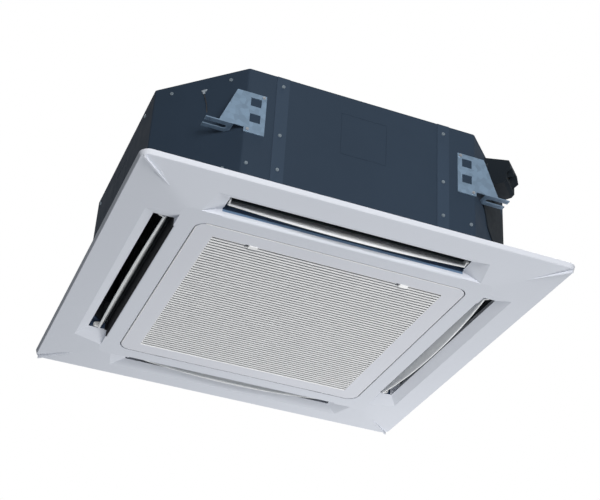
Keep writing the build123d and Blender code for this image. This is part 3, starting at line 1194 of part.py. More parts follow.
with BuildPart() as cable_grommet:
    with BuildSketch(drain_plane):
        with Locations(grommet_at):
            Circle(13)
    extrude(amount=2)
    with BuildSketch(drain_plane.offset(-SHEET - 2)):
        with Locations(grommet_at):
            Circle(9)
    extrude(amount=SHEET + 4)
    fillet(cable_grommet.edges().filter_by(GeomType.CIRCLE).group_by(Axis.X)[-1], 0.8)
    with BuildSketch(drain_plane.offset(-SHEET - 2)):
        with Locations(grommet_at):
            Circle(5)
    extrude(amount=SHEET + 6, mode=Mode.SUBTRACT)
save(cable_grommet, "cable_grommet")

# ================================================================ panel fixings, room sensor
with BuildPart() as panel_brackets:
    with BuildSketch(Plane.XY.offset(plate_low)):
        with GridLocations(2 * lug_at, 2 * lug_at, 2, 2):
            Rectangle(20, 20, rotation=45)
            Circle(2.5, mode=Mode.SUBTRACT)
    extrude(amount=pan_bottom - plate_low)
save(panel_brackets, "panel_brackets")
with BuildPart() as panel_screws:
    with BuildSketch(Plane.XY.offset(lug_low - 4)):
        with GridLocations(2 * lug_at, 2 * lug_at, 2, 2):
            RegularPolygon(5, 6)
    extrude(amount=3)
    with BuildSketch(Plane.XY.offset(lug_low - 1)):
        with GridLocations(2 * lug_at, 2 * lug_at, 2, 2):
            Circle(7)
    extrude(amount=1)
    with BuildSketch(Plane.XY.offset(lug_low - 1)):
        with GridLocations(2 * lug_at, 2 * lug_at, 2, 2):
            Circle(2.5)
    extrude(amount=screw_bore_top - 1 - lug_low + 1)
save(panel_screws, "panel_screws")
with BuildPart() as room_sensor:
    with Locations((-250, 120, bell_low)):
        Box(20, 34, 3, align=(Align.CENTER, Align.CENTER, Align.MAX))
    with Locations((-250, 120, bell_low - 8)):
        Cylinder(6, 22, rotation=(90, 0, 0))
save(room_sensor, "room_sensor")
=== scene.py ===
"""Finishes, small parts and studio for a four-way ceiling cassette air conditioner."""

import math

import bmesh
import bpy
from mathutils import Matrix, Vector


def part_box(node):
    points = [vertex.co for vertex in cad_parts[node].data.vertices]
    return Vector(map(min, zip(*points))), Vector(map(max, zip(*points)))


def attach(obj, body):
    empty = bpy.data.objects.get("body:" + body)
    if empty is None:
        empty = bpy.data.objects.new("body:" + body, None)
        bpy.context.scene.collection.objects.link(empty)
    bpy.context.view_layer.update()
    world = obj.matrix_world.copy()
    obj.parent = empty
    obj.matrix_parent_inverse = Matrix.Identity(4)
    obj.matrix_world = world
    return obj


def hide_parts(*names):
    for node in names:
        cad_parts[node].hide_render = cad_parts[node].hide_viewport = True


bl_info = {
    "name": "Ceiling cassette air conditioner",
    "version": (1, 0, 0),
    "blender": (4, 5, 0),
    "location": "View3D > Sidebar > Cassette",
    "description": "Finishes, filter cloth, leads and studio for a ceiling cassette unit",
    "category": "Object",
}

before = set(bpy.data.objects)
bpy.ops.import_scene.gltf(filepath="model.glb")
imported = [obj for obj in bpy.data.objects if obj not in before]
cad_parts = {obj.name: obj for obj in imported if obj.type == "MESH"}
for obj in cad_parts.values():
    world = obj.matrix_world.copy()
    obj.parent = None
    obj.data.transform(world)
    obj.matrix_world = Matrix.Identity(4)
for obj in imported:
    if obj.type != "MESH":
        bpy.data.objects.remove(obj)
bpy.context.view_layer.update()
MM = 0.001

# Limits of the panel's painted shade and painted light, in metres: half lengths of an outlet and of the duct behind
# it, distances from the panel's middle, and heights.
OUTLET_END, DUCT_END = 0.2695, 0.2715
SHADE_IN, LIP_IN, LIP_OUT, DUCT_OUT, SCOOP_OUT = 0.3425, 0.3455, 0.352, 0.388, 0.4025
SHADE_LOW, OUTLET_SHADE_LOW, LIT_BAND_HIGH, DUCT_LOW = -0.0205, -0.0105, -0.0050, -0.0026

# Limits of the grille's and the flaps' painted light and shade, in metres: half sizes of the slatted window, the
# height of the slat backs (slat fronts painted light below it, painted shade above it), the grille's outer rim
# (a painted highlight outside it) and the height of a flap's painted shade.
WINDOW_X, WINDOW_Y = 0.2625, 0.2655
SLAT_SHADE_LINE, RIM_HIGHLIGHT_FROM, FLAP_SHADE_FROM = -0.0188, 0.3032, 0.0115

SIDES = ("near", "right", "far", "left")

# Fine texture of every finish, and how much lighter the seam strips are than the casing.
BUMP_STRENGTH = 0.35
SPOTS_PER_CLOUD = 9
STRIP_LIGHTER = 1.25

# Saddles and their screws, in millimetres, with the arches as shares of the lead's radius.
SADDLES_Y = (30, -110)
SADDLE_OUTER, SADDLE_INNER, SADDLE_RISE, SADDLE_ANGLES = 1.9, 1.15, 0.2, range(0, 181, 20)
SADDLE_FOOT, SADDLE_SHEET, SADDLE_WIDTH, SADDLE_SHIFT = 12, 0.8, 6, 2.6
SCREW_RADIUS, SCREW_HEIGHT, SCREW_SINK, SCREW_SHIFT, SCREW_STEPS = 2.1, 1.4, 0.7, 10.4, 24
SCREW_RINGS = ((1.0, 0.0), (1.0, 0.45), (0.86, 0.85), (0.55, 1.0), (0.22, 0.55))

# The wall clip and its lead, in millimetres. A stop of the route is (along the wall, up, out of the wall).
CLIP_SPOT, CLIP_THICK, CLIP_EDGE = (-334.3, -347.7, 268.5), 2.2, 0.35
CLIP_OUTLINE = ((-6.5, 5.2), (6.8, 5.8), (5.2, 1.6), (2.0, 0.2), (2.6, -5.4), (-3.2, -5.6), (-2.8, -0.2), (-6.2, 1.4))
WALL_ROUTE = ((0, -3, 1.0), (1, -9, 1.05), (4.4, -20, 1.05), (8.6, -34, 1.05), (10.4, -46, 1.05), (10.5, -53, 0.9),
              (10.4, -55.5, -0.8))

# Studio, in metres and watts. A lamp's row: name, place, target, diameter, power, colour.
FLOOR_LEVEL, FLOOR_REACH = -5.5, 14.0
FLOOR_COLOUR, FLOOR_TINT = (0.86, 0.86, 0.86, 1), (0.86, 0.93, 1.0, 1)
FLOOR_GLOW, FLOOR_GLOW_SEEN = 0.15, 0.45
AMBIENT_COLOUR, AMBIENT_LEVEL, REFLECTED_SHARE = (0.80, 0.90, 1.0, 1), 0.055, 0.4
LAMPS = (
    ("key_lamp", (-0.35, -4.6, -0.5), (0, 0, 0.05), 1.9, 172, (1.0, 0.99, 0.98)),
    ("far_lamp", (1.5, 1.45, -1.9), (0.3, 0.3, 0), 1.8, 44, (1.0, 0.992, 0.98)),
    ("top_lamp", (0.5, 0.3, 4.2), (0, 0, 0), 3.2, 240, (1.0, 1.0, 1.0)),
)
CAMERA_PLACE = (-0.8884, -2.5325, -1.4888)
CAMERA_RIGHT = (0.92694, -0.37110, 0.05538)
CAMERA_FORWARD = (0.28899, 0.80025, 0.52544)
CAMERA_LENS, CAMERA_SENSOR, CAMERA_FAR = 81.1, 36, 60


# ------------------------------------------------------------------ settings
def colour_value(name, default, what):
    return bpy.props.FloatVectorProperty(name=name, description=what, default=default, size=3, min=0, max=1,
                                         subtype="COLOR")


def length_value(name, default, what):
    return bpy.props.FloatProperty(name=name, description=what, default=default, min=0, unit="LENGTH",
                                   subtype="DISTANCE", precision=5)


class CassetteColours(bpy.types.PropertyGroup):
    panel: colour_value("Panel", (0.685, 0.71, 0.77), "Moulded front panel")
    grille: colour_value("Grille", (0.715, 0.73, 0.785), "Moulded border of the intake grille")
    # Painted light: lit slat fronts and a highlight on the grille's rim, painted near white on the one grille
    # moulding.
    slat_light: colour_value("Slats", (0.96, 0.96, 0.96), "Slats of the intake grille")
    flap: colour_value("Flaps", (0.93, 0.94, 0.94), "Swing flaps")
    # Painted shade: the outlets' inner walls and the duct collars, painted dark where they lie in shade.
    lining: colour_value("Duct lining", (0.030, 0.052, 0.095), "Painted shade in the air outlets")
    latch: colour_value("Latches", (0.93, 0.93, 0.93), "Sliding latch tabs")
    casing: colour_value("Casing", (0.026, 0.042, 0.066), "Painted body casing")
    zinc: colour_value("Brackets", (0.19, 0.275, 0.375), "Galvanised hanger brackets")
    duct: colour_value("Duct foam", (0.012, 0.020, 0.030), "Lining of the air ducts")
    # Painted light: a lighter blue band on the near outlet's inner wall, where light falls on the dark wall.
    near_outlet_light: colour_value("Near outlet light", (0.17, 0.27, 0.42), "Painted light over the near outlet's lip")
    # Painted shade: the deepest shade on the left outlet's inner wall, painted near black.
    shadow: colour_value("Deep lining", (0.004, 0.005, 0.008), "Painted deepest shade, in the left outlet")
    # Painted shade: the upper sides and backs of the slat rows, painted grey.
    slat_shade: colour_value("Slat shade", (0.42, 0.43, 0.45), "Painted shade on the slat sides and backs")
    # Painted shade: the upper part of each flap, painted dark where the outlet shades it.
    flap_shade: colour_value("Flap shade", (0.36, 0.43, 0.43), "Painted shade along a flap's upper part")


class CassetteSizes(bpy.types.PropertyGroup):
    thread_pitch: length_value("Thread pitch", 0.0030, "Distance between the filter cloth's threads")
    thread_width: length_value("Thread width", 0.0006, "Width of one thread")
    lead_radius: length_value("Lead radius", 0.0011, "Radius of one wire")


# ------------------------------------------------------------------ materials
def plug(tree, value, socket):
    """Link a socket's value, or set it as a plain value."""
    if isinstance(value, bpy.types.NodeSocket):
        tree.links.new(value, socket)
    else:
        socket.default_value = value


def calc(tree, operation, *values):
    """The result of a math node on values or other sockets."""
    node = tree.nodes.new("ShaderNodeMath")
    node.operation = operation
    for value, socket in zip(values, node.inputs):
        plug(tree, value, socket)
    return node.outputs[0]


def shade(colour, factor):
    """A colour made lighter or darker, with its alpha."""
    return (*[min(1.0, c * factor) for c in colour[:3]], 1.0)


def finish(name, colour, roughness, metallic=0.0, mottle=0.05, cloud=5.0, grain=600.0, depth=0.00005, spread=0.08,
           shine=0.5, cells=0.0, streak=(1, 1, 1)):
    """A procedural finish: clouded colour, uneven roughness and a fine bump, all in Object coordinates."""
    mat = bpy.data.materials.new(name)
    mat.use_nodes = True
    tree = mat.node_tree
    shader = tree.nodes["Principled BSDF"]
    shader.inputs["Metallic"].default_value = metallic
    shader.inputs["Specular IOR Level"].default_value = shine
    place = tree.nodes.new("ShaderNodeTexCoord")
    turn = tree.nodes.new("ShaderNodeMapping")
    turn.inputs["Scale"].default_value = streak
    tree.links.new(place.outputs["Object"], turn.inputs["Vector"])
    if cells:
        broad = tree.nodes.new("ShaderNodeTexVoronoi")
        broad.inputs["Scale"].default_value = cells
        level = broad.outputs["Color"]
    else:
        broad = tree.nodes.new("ShaderNodeTexNoise")
        broad.inputs["Scale"].default_value = cloud
        broad.inputs["Detail"].default_value = 5
        level = broad.outputs["Fac"]
    tree.links.new(turn.outputs["Vector"], broad.inputs["Vector"])
    tone = tree.nodes.new("ShaderNodeMix")
    tone.data_type = "RGBA"
    tone.inputs[6].default_value = shade(colour, 1 - mottle)
    tone.inputs[7].default_value = shade(colour, 1 + mottle)
    tree.links.new(level, tone.inputs[0])
    tree.links.new(tone.outputs[2], shader.inputs["Base Color"])
    spots = tree.nodes.new("ShaderNodeTexNoise")
    spots.inputs["Scale"].default_value = cloud * SPOTS_PER_CLOUD
    spots.inputs["Detail"].default_value = 3
    tree.links.new(turn.outputs["Vector"], spots.inputs["Vector"])
    rough = tree.nodes.new("ShaderNodeMapRange")
    rough.inputs["To Min"].default_value = max(0.02, roughness - spread)
    rough.inputs["To Max"].default_value = min(1.0, roughness + spread)
    tree.links.new(spots.outputs["Fac"], rough.inputs["Value"])
    tree.links.new(rough.outputs["Result"], shader.inputs["Roughness"])
    fine = tree.nodes.new("ShaderNodeTexNoise")
    fine.inputs["Scale"].default_value = grain
    fine.inputs["Detail"].default_value = 2
    tree.links.new(turn.outputs["Vector"], fine.inputs["Vector"])
    bump = tree.nodes.new("ShaderNodeBump")
    bump.inputs["Strength"].default_value = BUMP_STRENGTH
    bump.inputs["Distance"].default_value = depth
    tree.links.new(fine.outputs["Fac"], bump.inputs["Height"])
    tree.links.new(bump.outputs["Normal"], shader.inputs["Normal"])
    return mat


def between(measure, low, high):
    """The pair of tests that keeps a measure between two limits."""
    return [(measure, ">", low), (measure, "<", high)]


def patch(mat, colour, areas):
    """Give areas of a finish another colour.

    An area is a list of (measure, sign, limit) tests in metres. The measures are x, y and z, reach (the larger of
    |x| and |y|) and along (the smaller of them).
    """
    tree = mat.node_tree
    place = tree.nodes.new("ShaderNodeTexCoord")
    parts = tree.nodes.new("ShaderNodeSeparateXYZ")
    tree.links.new(place.outputs["Object"], parts.inputs[0])
    x, y, z = parts.outputs
    wide, deep = calc(tree, "ABSOLUTE", x), calc(tree, "ABSOLUTE", y)
    measures = {"x": x, "y": y, "z": z, "reach": calc(tree, "MAXIMUM", wide, deep),
                "along": calc(tree, "MINIMUM", wide, deep)}
    mask = 0.0
    for tests in areas:
        inside = 1.0
        for measure, sign, limit in tests:
            operation = "GREATER_THAN" if sign == ">" else "LESS_THAN"
            inside = calc(tree, "MULTIPLY", calc(tree, operation, measures[measure], limit), inside)
        mask = calc(tree, "MAXIMUM", inside, mask)
    shader = tree.nodes["Principled BSDF"]
    blend = tree.nodes.new("ShaderNodeMix")
    blend.data_type = "RGBA"
    tree.links.new(mask, blend.inputs[0])
    tree.links.new(shader.inputs["Base Color"].links[0].from_socket, blend.inputs[6])
    blend.inputs[7].default_value = (*colour, 1)
    tree.links.new(blend.outputs[2], shader.inputs["Base Color"])


def coat(nodes, name, colour, roughness, **more):
    """Make a finish, give it to whole nodes of the frame and return it."""
    mat = finish(name, colour, roughness, **more)
    for node in nodes:
        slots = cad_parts[node].data.materials
        slots.clear()
        slots.append(mat)
    return mat


# ------------------------------------------------------------------ mesh helpers
def new_piece(name, mesh, body, mat=None):
    """Put a finished mesh in the scene at the origin and let it ride on a body."""
    piece = bpy.data.objects.new(name, mesh)
    bpy.context.scene.collection.objects.link(piece)
    if mat:
        mesh.materials.clear()
        mesh.materials.append(mat)
    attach(piece, body)
    return piece


def tube_mesh(name, points, radius):
    """A round lead along a smooth NURBS line through points in millimetres, made a mesh."""
    curve = bpy.data.curves.new(name, "CURVE")
    curve.dimensions = "3D"
    curve.bevel_depth = radius
    curve.bevel_resolution = 2
    curve.resolution_u = 6
    curve.use_fill_caps = True
    spline = curve.splines.new("NURBS")
    spline.points.add(len(points) - 1)
    for point, place in zip(spline.points, points):
        point.co = (*[v * MM for v in place], 1)
    spline.order_u = 4
    spline.use_endpoint_u = True
    holder = bpy.data.objects.new(name, curve)
    bpy.context.scene.collection.objects.link(holder)
    mesh = bpy.data.meshes.new_from_object(holder.evaluated_get(bpy.context.evaluated_depsgraph_get()))
    bpy.data.objects.remove(holder)
    bpy.data.curves.remove(curve)
    mesh.name = name
    mesh.shade_smooth()
    return mesh


def joined(name, meshes):
    """Several meshes as one, with their own meshes removed."""
    whole = bmesh.new()
    for mesh in meshes:
        whole.from_mesh(mesh)
        bpy.data.meshes.remove(mesh)
    result = bpy.data.meshes.new(name)
    whole.to_mesh(result)
    whole.free()
    return result


def plate_mesh(name, outline, depth, place, edge=0.0):
    """A flat outline (millimetres) made a plate of a given depth, its sharp edges broken, set by a matrix."""
    plate = bmesh.new()
    face = plate.faces.new([plate.verts.new((u * MM, v * MM, 0)) for u, v in outline])
    raised = bmesh.ops.extrude_face_region(plate, geom=[face])["geom"]
    bmesh.ops.translate(plate, vec=(0, 0, depth * MM), verts=[v for v in raised if isinstance(v, bmesh.types.BMVert)])
    if edge:
        bmesh.ops.bevel(plate, geom=plate.edges[:], offset=edge * MM, segments=2, affect="EDGES")
    bmesh.ops.transform(plate, matrix=place, verts=plate.verts)
    bmesh.ops.recalc_face_normals(plate, faces=plate.faces)
    mesh = bpy.data.meshes.new(name)
    plate.to_mesh(mesh)
    plate.free()
    return mesh


def screw_mesh(name, place):
    """A pan-head screw with a cross recess, standing on its place along the matrix's Z."""
    head = bmesh.new()
    loops = []
    for reach, level in SCREW_RINGS:
        loop = []
        for k in range(SCREW_STEPS):
            angle = 2 * math.pi * k / SCREW_STEPS
            cross = 1.0 if reach > 0.3 or k % 6 < 2 else 0.45
            far = reach * cross * SCREW_RADIUS * MM
            loop.append(head.verts.new((far * math.cos(angle), far * math.sin(angle), level * SCREW_HEIGHT * MM)))
        loops.append(loop)
    for low, high in zip(loops, loops[1:]):
        for k in range(SCREW_STEPS):
            after = (k + 1) % SCREW_STEPS
            head.faces.new((low[k], low[after], high[after], high[k]))
    head.faces.new(loops[-1])
    head.faces.new(loops[0][::-1])
    bmesh.ops.transform(head, matrix=place, verts=head.verts)
    bmesh.ops.recalc_face_normals(head, faces=head.faces)
    mesh = bpy.data.meshes.new(name)
    head.to_mesh(mesh)
    head.free()
    return mesh


def frame_at(place, along, out):
    """A matrix whose origin is a point in millimetres, with X along one direction and Z out of the surface."""
    x, z = Vector(along).normalized(), Vector(out).normalized()
    turn = Matrix((x, z.cross(x), z)).transposed().to_4x4()
    return Matrix.Translation(Vector(place) * MM) @ turn


def evaluated_copy(name, tree, inputs):
    """Run a geometry tree on an empty mesh and return the plain mesh."""
    holder = bpy.data.objects.new(name, bpy.data.meshes.new(name))
    bpy.context.scene.collection.objects.link(holder)
    modifier = holder.modifiers.new("Layout", "NODES")
    modifier.node_group = tree
    for socket in tree.interface.items_tree:
        if socket.in_out == "INPUT" and socket.name in inputs:
            modifier[socket.identifier] = inputs[socket.name]
    mesh = bpy.data.meshes.new_from_object(holder.evaluated_get(bpy.context.evaluated_depsgraph_get()))
    mesh.name = name
    holder.modifiers.remove(modifier)
    bpy.data.objects.remove(holder)
    return mesh


class NodeSheet:
    """A short way to build a geometry tree with named inputs."""

    def __init__(self, name, floats):
        self.tree = bpy.data.node_groups.new(name, "GeometryNodeTree")
        self.tree.interface.new_socket("Geometry", in_out="OUTPUT", socket_type="NodeSocketGeometry")
        for label, value in floats.items():
            kind = "NodeSocketInt" if isinstance(value, int) else "NodeSocketFloat"
            socket = self.tree.interface.new_socket(label, in_out="INPUT", socket_type=kind)
            socket.default_value = value
        socket = self.tree.interface.new_socket("Finish", in_out="INPUT", socket_type="NodeSocketMaterial")
        self.inputs = self.tree.nodes.new("NodeGroupInput")
        self.outputs = self.tree.nodes.new("NodeGroupOutput")

    def add(self, kind, settings=None, **sockets):
        node = self.tree.nodes.new(kind)
        for key, value in (settings or {}).items():
            setattr(node, key, value)
        for key, value in sockets.items():
            numbered = key.startswith("i") and key[1:].isdigit()
            plug(self.tree, value, node.inputs[int(key[1:]) if numbered else key.replace("_", " ")])
        return node

    def vector(self, x=0.0, y=0.0, z=0.0):
        return self.add("ShaderNodeCombineXYZ", i0=x, i1=y, i2=z).outputs[0]

    def value(self, name):
        return self.inputs.outputs[name]

    def end(self, geometry):
        real = self.add("GeometryNodeRealizeInstances", Geometry=geometry)
        painted = self.add("GeometryNodeSetMaterial", Geometry=real.outputs[0], Material=self.value("Finish"))
        self.tree.links.new(painted.outputs[0], self.outputs.inputs["Geometry"])
        return self.tree


def strip_row_tree(name):
    """A row of equal bars: size, count and pitch along X or Y, from a start point."""
    sheet = NodeSheet(name, {"Bar X": 0.01, "Bar Y": 0.01, "Bar Z": 0.01, "Count": 10, "Step X": 0.0, "Step Y": 0.0,
                             "Start X": 0.0, "Start Y": 0.0, "Start Z": 0.0})
    bar = sheet.add("GeometryNodeMeshCube", Size=sheet.vector(sheet.value("Bar X"), sheet.value("Bar Y"),
                                                              sheet.value("Bar Z")))
    line = sheet.add("GeometryNodeMeshLine", {"mode": "OFFSET"}, Count=sheet.value("Count"),
                     Start_Location=sheet.vector(sheet.value("Start X"), sheet.value("Start Y"),
                                                 sheet.value("Start Z")),
                     Offset=sheet.vector(sheet.value("Step X"), sheet.value("Step Y")))
    spots = sheet.add("GeometryNodeInstanceOnPoints", Points=line.outputs[0], Instance=bar.outputs[0])
    return sheet.end(spots.outputs[0])


def bar_row(name, mat, size, count, step, start):
    """One row of bars as a mesh; sizes in metres."""
    tree = bpy.data.node_groups.get("bar_row") or strip_row_tree("bar_row")
    labels = ("Bar X", "Bar Y", "Bar Z", "Step X", "Step Y", "Start X", "Start Y", "Start Z")
    values = dict(zip(labels, (*size, *step, *start)))
    return evaluated_copy(name, tree, {**values, "Count": count, "Finish": mat})


# ------------------------------------------------------------------ operators
class CassetteOperator:
    bl_options = {"REGISTER", "UNDO"}

    @property
    def colours(self):
        return bpy.context.scene.cassette_colours

    @property
    def sizes(self):
        return bpy.context.scene.cassette_sizes


class CASSETTE_OT_dress_panel(CassetteOperator, bpy.types.Operator):
    """Give the front panel, grille, flaps and latches their moulded finishes, with painted light and shade"""
    bl_idname = "cassette.dress_panel"
    bl_label = "Panel finishes"

    def execute(self, context):
        panel = coat(["panel_frame"], "panel_moulding_and_shade", self.colours.panel, 0.75, mottle=0.025, cloud=2.2, grain=900,
                     depth=0.00004, shine=0.25)
        outlet = ("along", "<", OUTLET_END)
        duct = [("along", "<", DUCT_END), ("z", ">", DUCT_LOW)]
        # Painted shade: the outlets' inner walls above a height and the duct collars behind them, painted dark, with
        # the outer duct walls painted dark on the left and near sides only.
        patch(panel, self.colours.lining, [
            [*between("reach", LIP_IN, LIP_OUT), outlet, ("z", ">", OUTLET_SHADE_LOW)],
            [*between("reach", LIP_IN, DUCT_OUT), *duct],
            [*between("x", -SCOOP_OUT, -DUCT_OUT), *duct],
            [*between("y", -SCOOP_OUT, -DUCT_OUT), *duct]])
        # Painted light: a lighter blue band on the near outlet's inner wall only.
        patch(panel, self.colours.near_outlet_light, [
            [*between("y", -LIP_OUT, -LIP_IN), outlet, *between("z", OUTLET_SHADE_LOW, LIT_BAND_HIGH)]])
        # Painted shade: the left outlet's inner wall, painted near black.
        patch(panel, self.colours.shadow, [[*between("x", -LIP_OUT, -SHADE_IN), outlet, ("z", ">", SHADE_LOW)]])
        grille = coat(["intake_grille"], "grille_moulding_light_and_shade", self.colours.grille, 0.75, mottle=0.03, cloud=4,
                      grain=900, depth=0.00004, shine=0.25)
        window = [*between("x", -WINDOW_X, WINDOW_X), *between("y", -WINDOW_Y, WINDOW_Y)]
        # Painted light: slat fronts and lower sides painted near white as lit, and a painted highlight around the
        # grille's rim.
        patch(grille, self.colours.slat_light, [[*window, ("z", "<", SLAT_SHADE_LINE)], [("reach", ">", RIM_HIGHLIGHT_FROM)]])
        # Painted shade: the slat sides and backs above the fronts, painted grey.
        patch(grille, self.colours.slat_shade, [[*window, ("z", ">", SLAT_SHADE_LINE)]])
        flap = coat([f"flap_{side}" for side in SIDES], "flap_moulding_and_shade", self.colours.flap, 0.38, mottle=0.04,
                    cloud=6, grain=700, depth=0.00003)
        # Painted shade: each flap's upper part, above a height, painted dark.
        patch(flap, self.colours.flap_shade, [[("z", ">", FLAP_SHADE_FROM)]])
        coat(["latch_left", "latch_right", "room_sensor", "terminal_block", "float"], "latch_moulding",
             self.colours.latch, 0.30, mottle=0.02, grain=500, depth=0.00002)
        return {"FINISHED"}


class CASSETTE_OT_dress_casing(CassetteOperator, bpy.types.Operator):
    """Give the body casing, brackets, screws and pipe cover their finishes"""
    bl_idname = "cassette.dress_casing"
    bl_label = "Casing finishes"

    def execute(self, context):
        colours = self.colours
        coat(["casing_wrap", "casing_top"], "casing_paint", colours.casing, 0.62, mottle=0.16, cloud=3.2, grain=420,
             depth=0.00012, spread=0.1, shine=0.12)
        coat(["seam_strips"], "strip_paint", tuple(c * STRIP_LIGHTER for c in colours.casing), 0.58, mottle=0.14,
             cloud=5, grain=420, depth=0.0001, shine=0.15)
        coat([*(f"hanger_bracket_{corner}" for corner in ("nl", "nr", "fl", "fr")), "coil_end_plates",
              "coil_baffle", "pump_bracket", "control_box", "control_box_cover", "panel_brackets"],
             "zinc_sheet", colours.zinc, 0.42, metallic=0.35, mottle=0.16, cells=90, grain=300, depth=0.00006)
        coat(["bracket_screws", "panel_screws", "motor_shaft", "fan_nut", "hinge_pins"],
             "screw_steel", (0.55, 0.57, 0.60), 0.32, metallic=0.9, mottle=0.1, grain=300, depth=0.00004)
        coat(["casing_screws"], "painted_screw", (0.24, 0.29, 0.33), 0.4, metallic=0.4, mottle=0.15, grain=300)
        coat(["pipe_cover", "drain_socket"], "black_moulding", (0.012, 0.017, 0.023), 0.6, mottle=0.25, cloud=8,
             grain=260, depth=0.0002, shine=0.1)
        coat(["cable_grommet", "motor_bushes"], "black_rubber", (0.010, 0.010, 0.011), 0.7, mottle=0.3, grain=200,
             depth=0.0001)
        return {"FINISHED"}


class CASSETTE_OT_dress_works(CassetteOperator, bpy.types.Operator):
    """Give the foam, coil, pipes, fan, motor, pump and electrics their finishes"""
    bl_idname = "cassette.dress_works"
    bl_label = "Inner finishes"

    def execute(self, context):
        coat(["side_insulation", "top_insulation", "panel_gasket"], "black_foam", self.colours.duct, 0.85,
             mottle=0.35, cloud=14, grain=180, depth=0.0006)
        coat(["drain_pan"], "pan_foam", (0.045, 0.052, 0.060), 0.7, mottle=0.15, cells=220, grain=200, depth=0.0003)
        coat(["heat_exchanger"], "fin_aluminium", (0.62, 0.64, 0.66), 0.34, metallic=0.9, mottle=0.1, grain=500,
             depth=0.0001, streak=(1, 1, 0.1))
        coat(["coil_return_bends", "gas_line", "liquid_line"], "copper_tube", (0.72, 0.36, 0.22), 0.3, metallic=1.0,
             mottle=0.12, cloud=20, grain=300)
        coat(["flare_nuts"], "turned_brass", (0.72, 0.52, 0.22), 0.3, metallic=1.0, mottle=0.08, cloud=20, grain=300)
        coat(["bell_mouth", "filter_frame"], "duct_moulding", (0.10, 0.12, 0.15), 0.5, mottle=0.08, cloud=6,
             grain=500)
        coat(["turbo_fan"], "fan_moulding", (0.035, 0.042, 0.052), 0.45, mottle=0.1, cloud=7, grain=500)
        coat(["fan_motor"], "motor_resin", (0.16, 0.165, 0.17), 0.55, mottle=0.12, cloud=12, grain=240, depth=0.0002)
        coat(["drain_pump", "float_stem", "flap_bushes", *(f"flap_motor_{side}" for side in SIDES)],
             "pale_moulding", (0.55, 0.55, 0.53), 0.42, mottle=0.05, cloud=10, grain=400)
        coat(["drain_hose"], "grey_hose", (0.18, 0.185, 0.19), 0.55, mottle=0.08, cloud=12, grain=200)
        coat(["circuit_board"], "circuit_laminate", (0.02, 0.13, 0.05), 0.35, mottle=0.2, cells=160, grain=300)
        return {"FINISHED"}


class CASSETTE_OT_filter_cloth(CassetteOperator, bpy.types.Operator):
    """Weave the air filter's cloth from crossing threads"""
    bl_idname = "cassette.filter_cloth"
    bl_label = "Filter cloth"

    def execute(self, context):
        low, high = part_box("filter_mesh")
        pitch, width = self.sizes.thread_pitch, self.sizes.thread_width
        mat = finish("filter_thread", (0.045, 0.048, 0.052), 0.6, mottle=0.2, cloud=30, grain=500)
        span = [high[i] - low[i] for i in range(2)]
        middle = [(high[i] + low[i]) / 2 for i in range(3)]
        counts = [int(span[i] / pitch) for i in range(2)]
        start = [middle[i] - (counts[i] - 1) * pitch / 2 for i in range(2)]
        thick = (high[2] - low[2]) * 0.5
        along_y = bar_row("cloth_y", mat, (width, span[1], thick), counts[0], (pitch, 0),
                          (start[0], middle[1], middle[2] - thick / 2))
        along_x = bar_row("cloth_x", mat, (span[0], width, thick), counts[1], (0, pitch),
                          (middle[0], start[1], middle[2] + thick / 2))
        cloth = new_piece("filter_cloth", joined("filter_cloth", [along_y, along_x]), "grille", mat)
        cloth.data.shade_flat()
        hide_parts("filter_mesh")
        return {"FINISHED"}


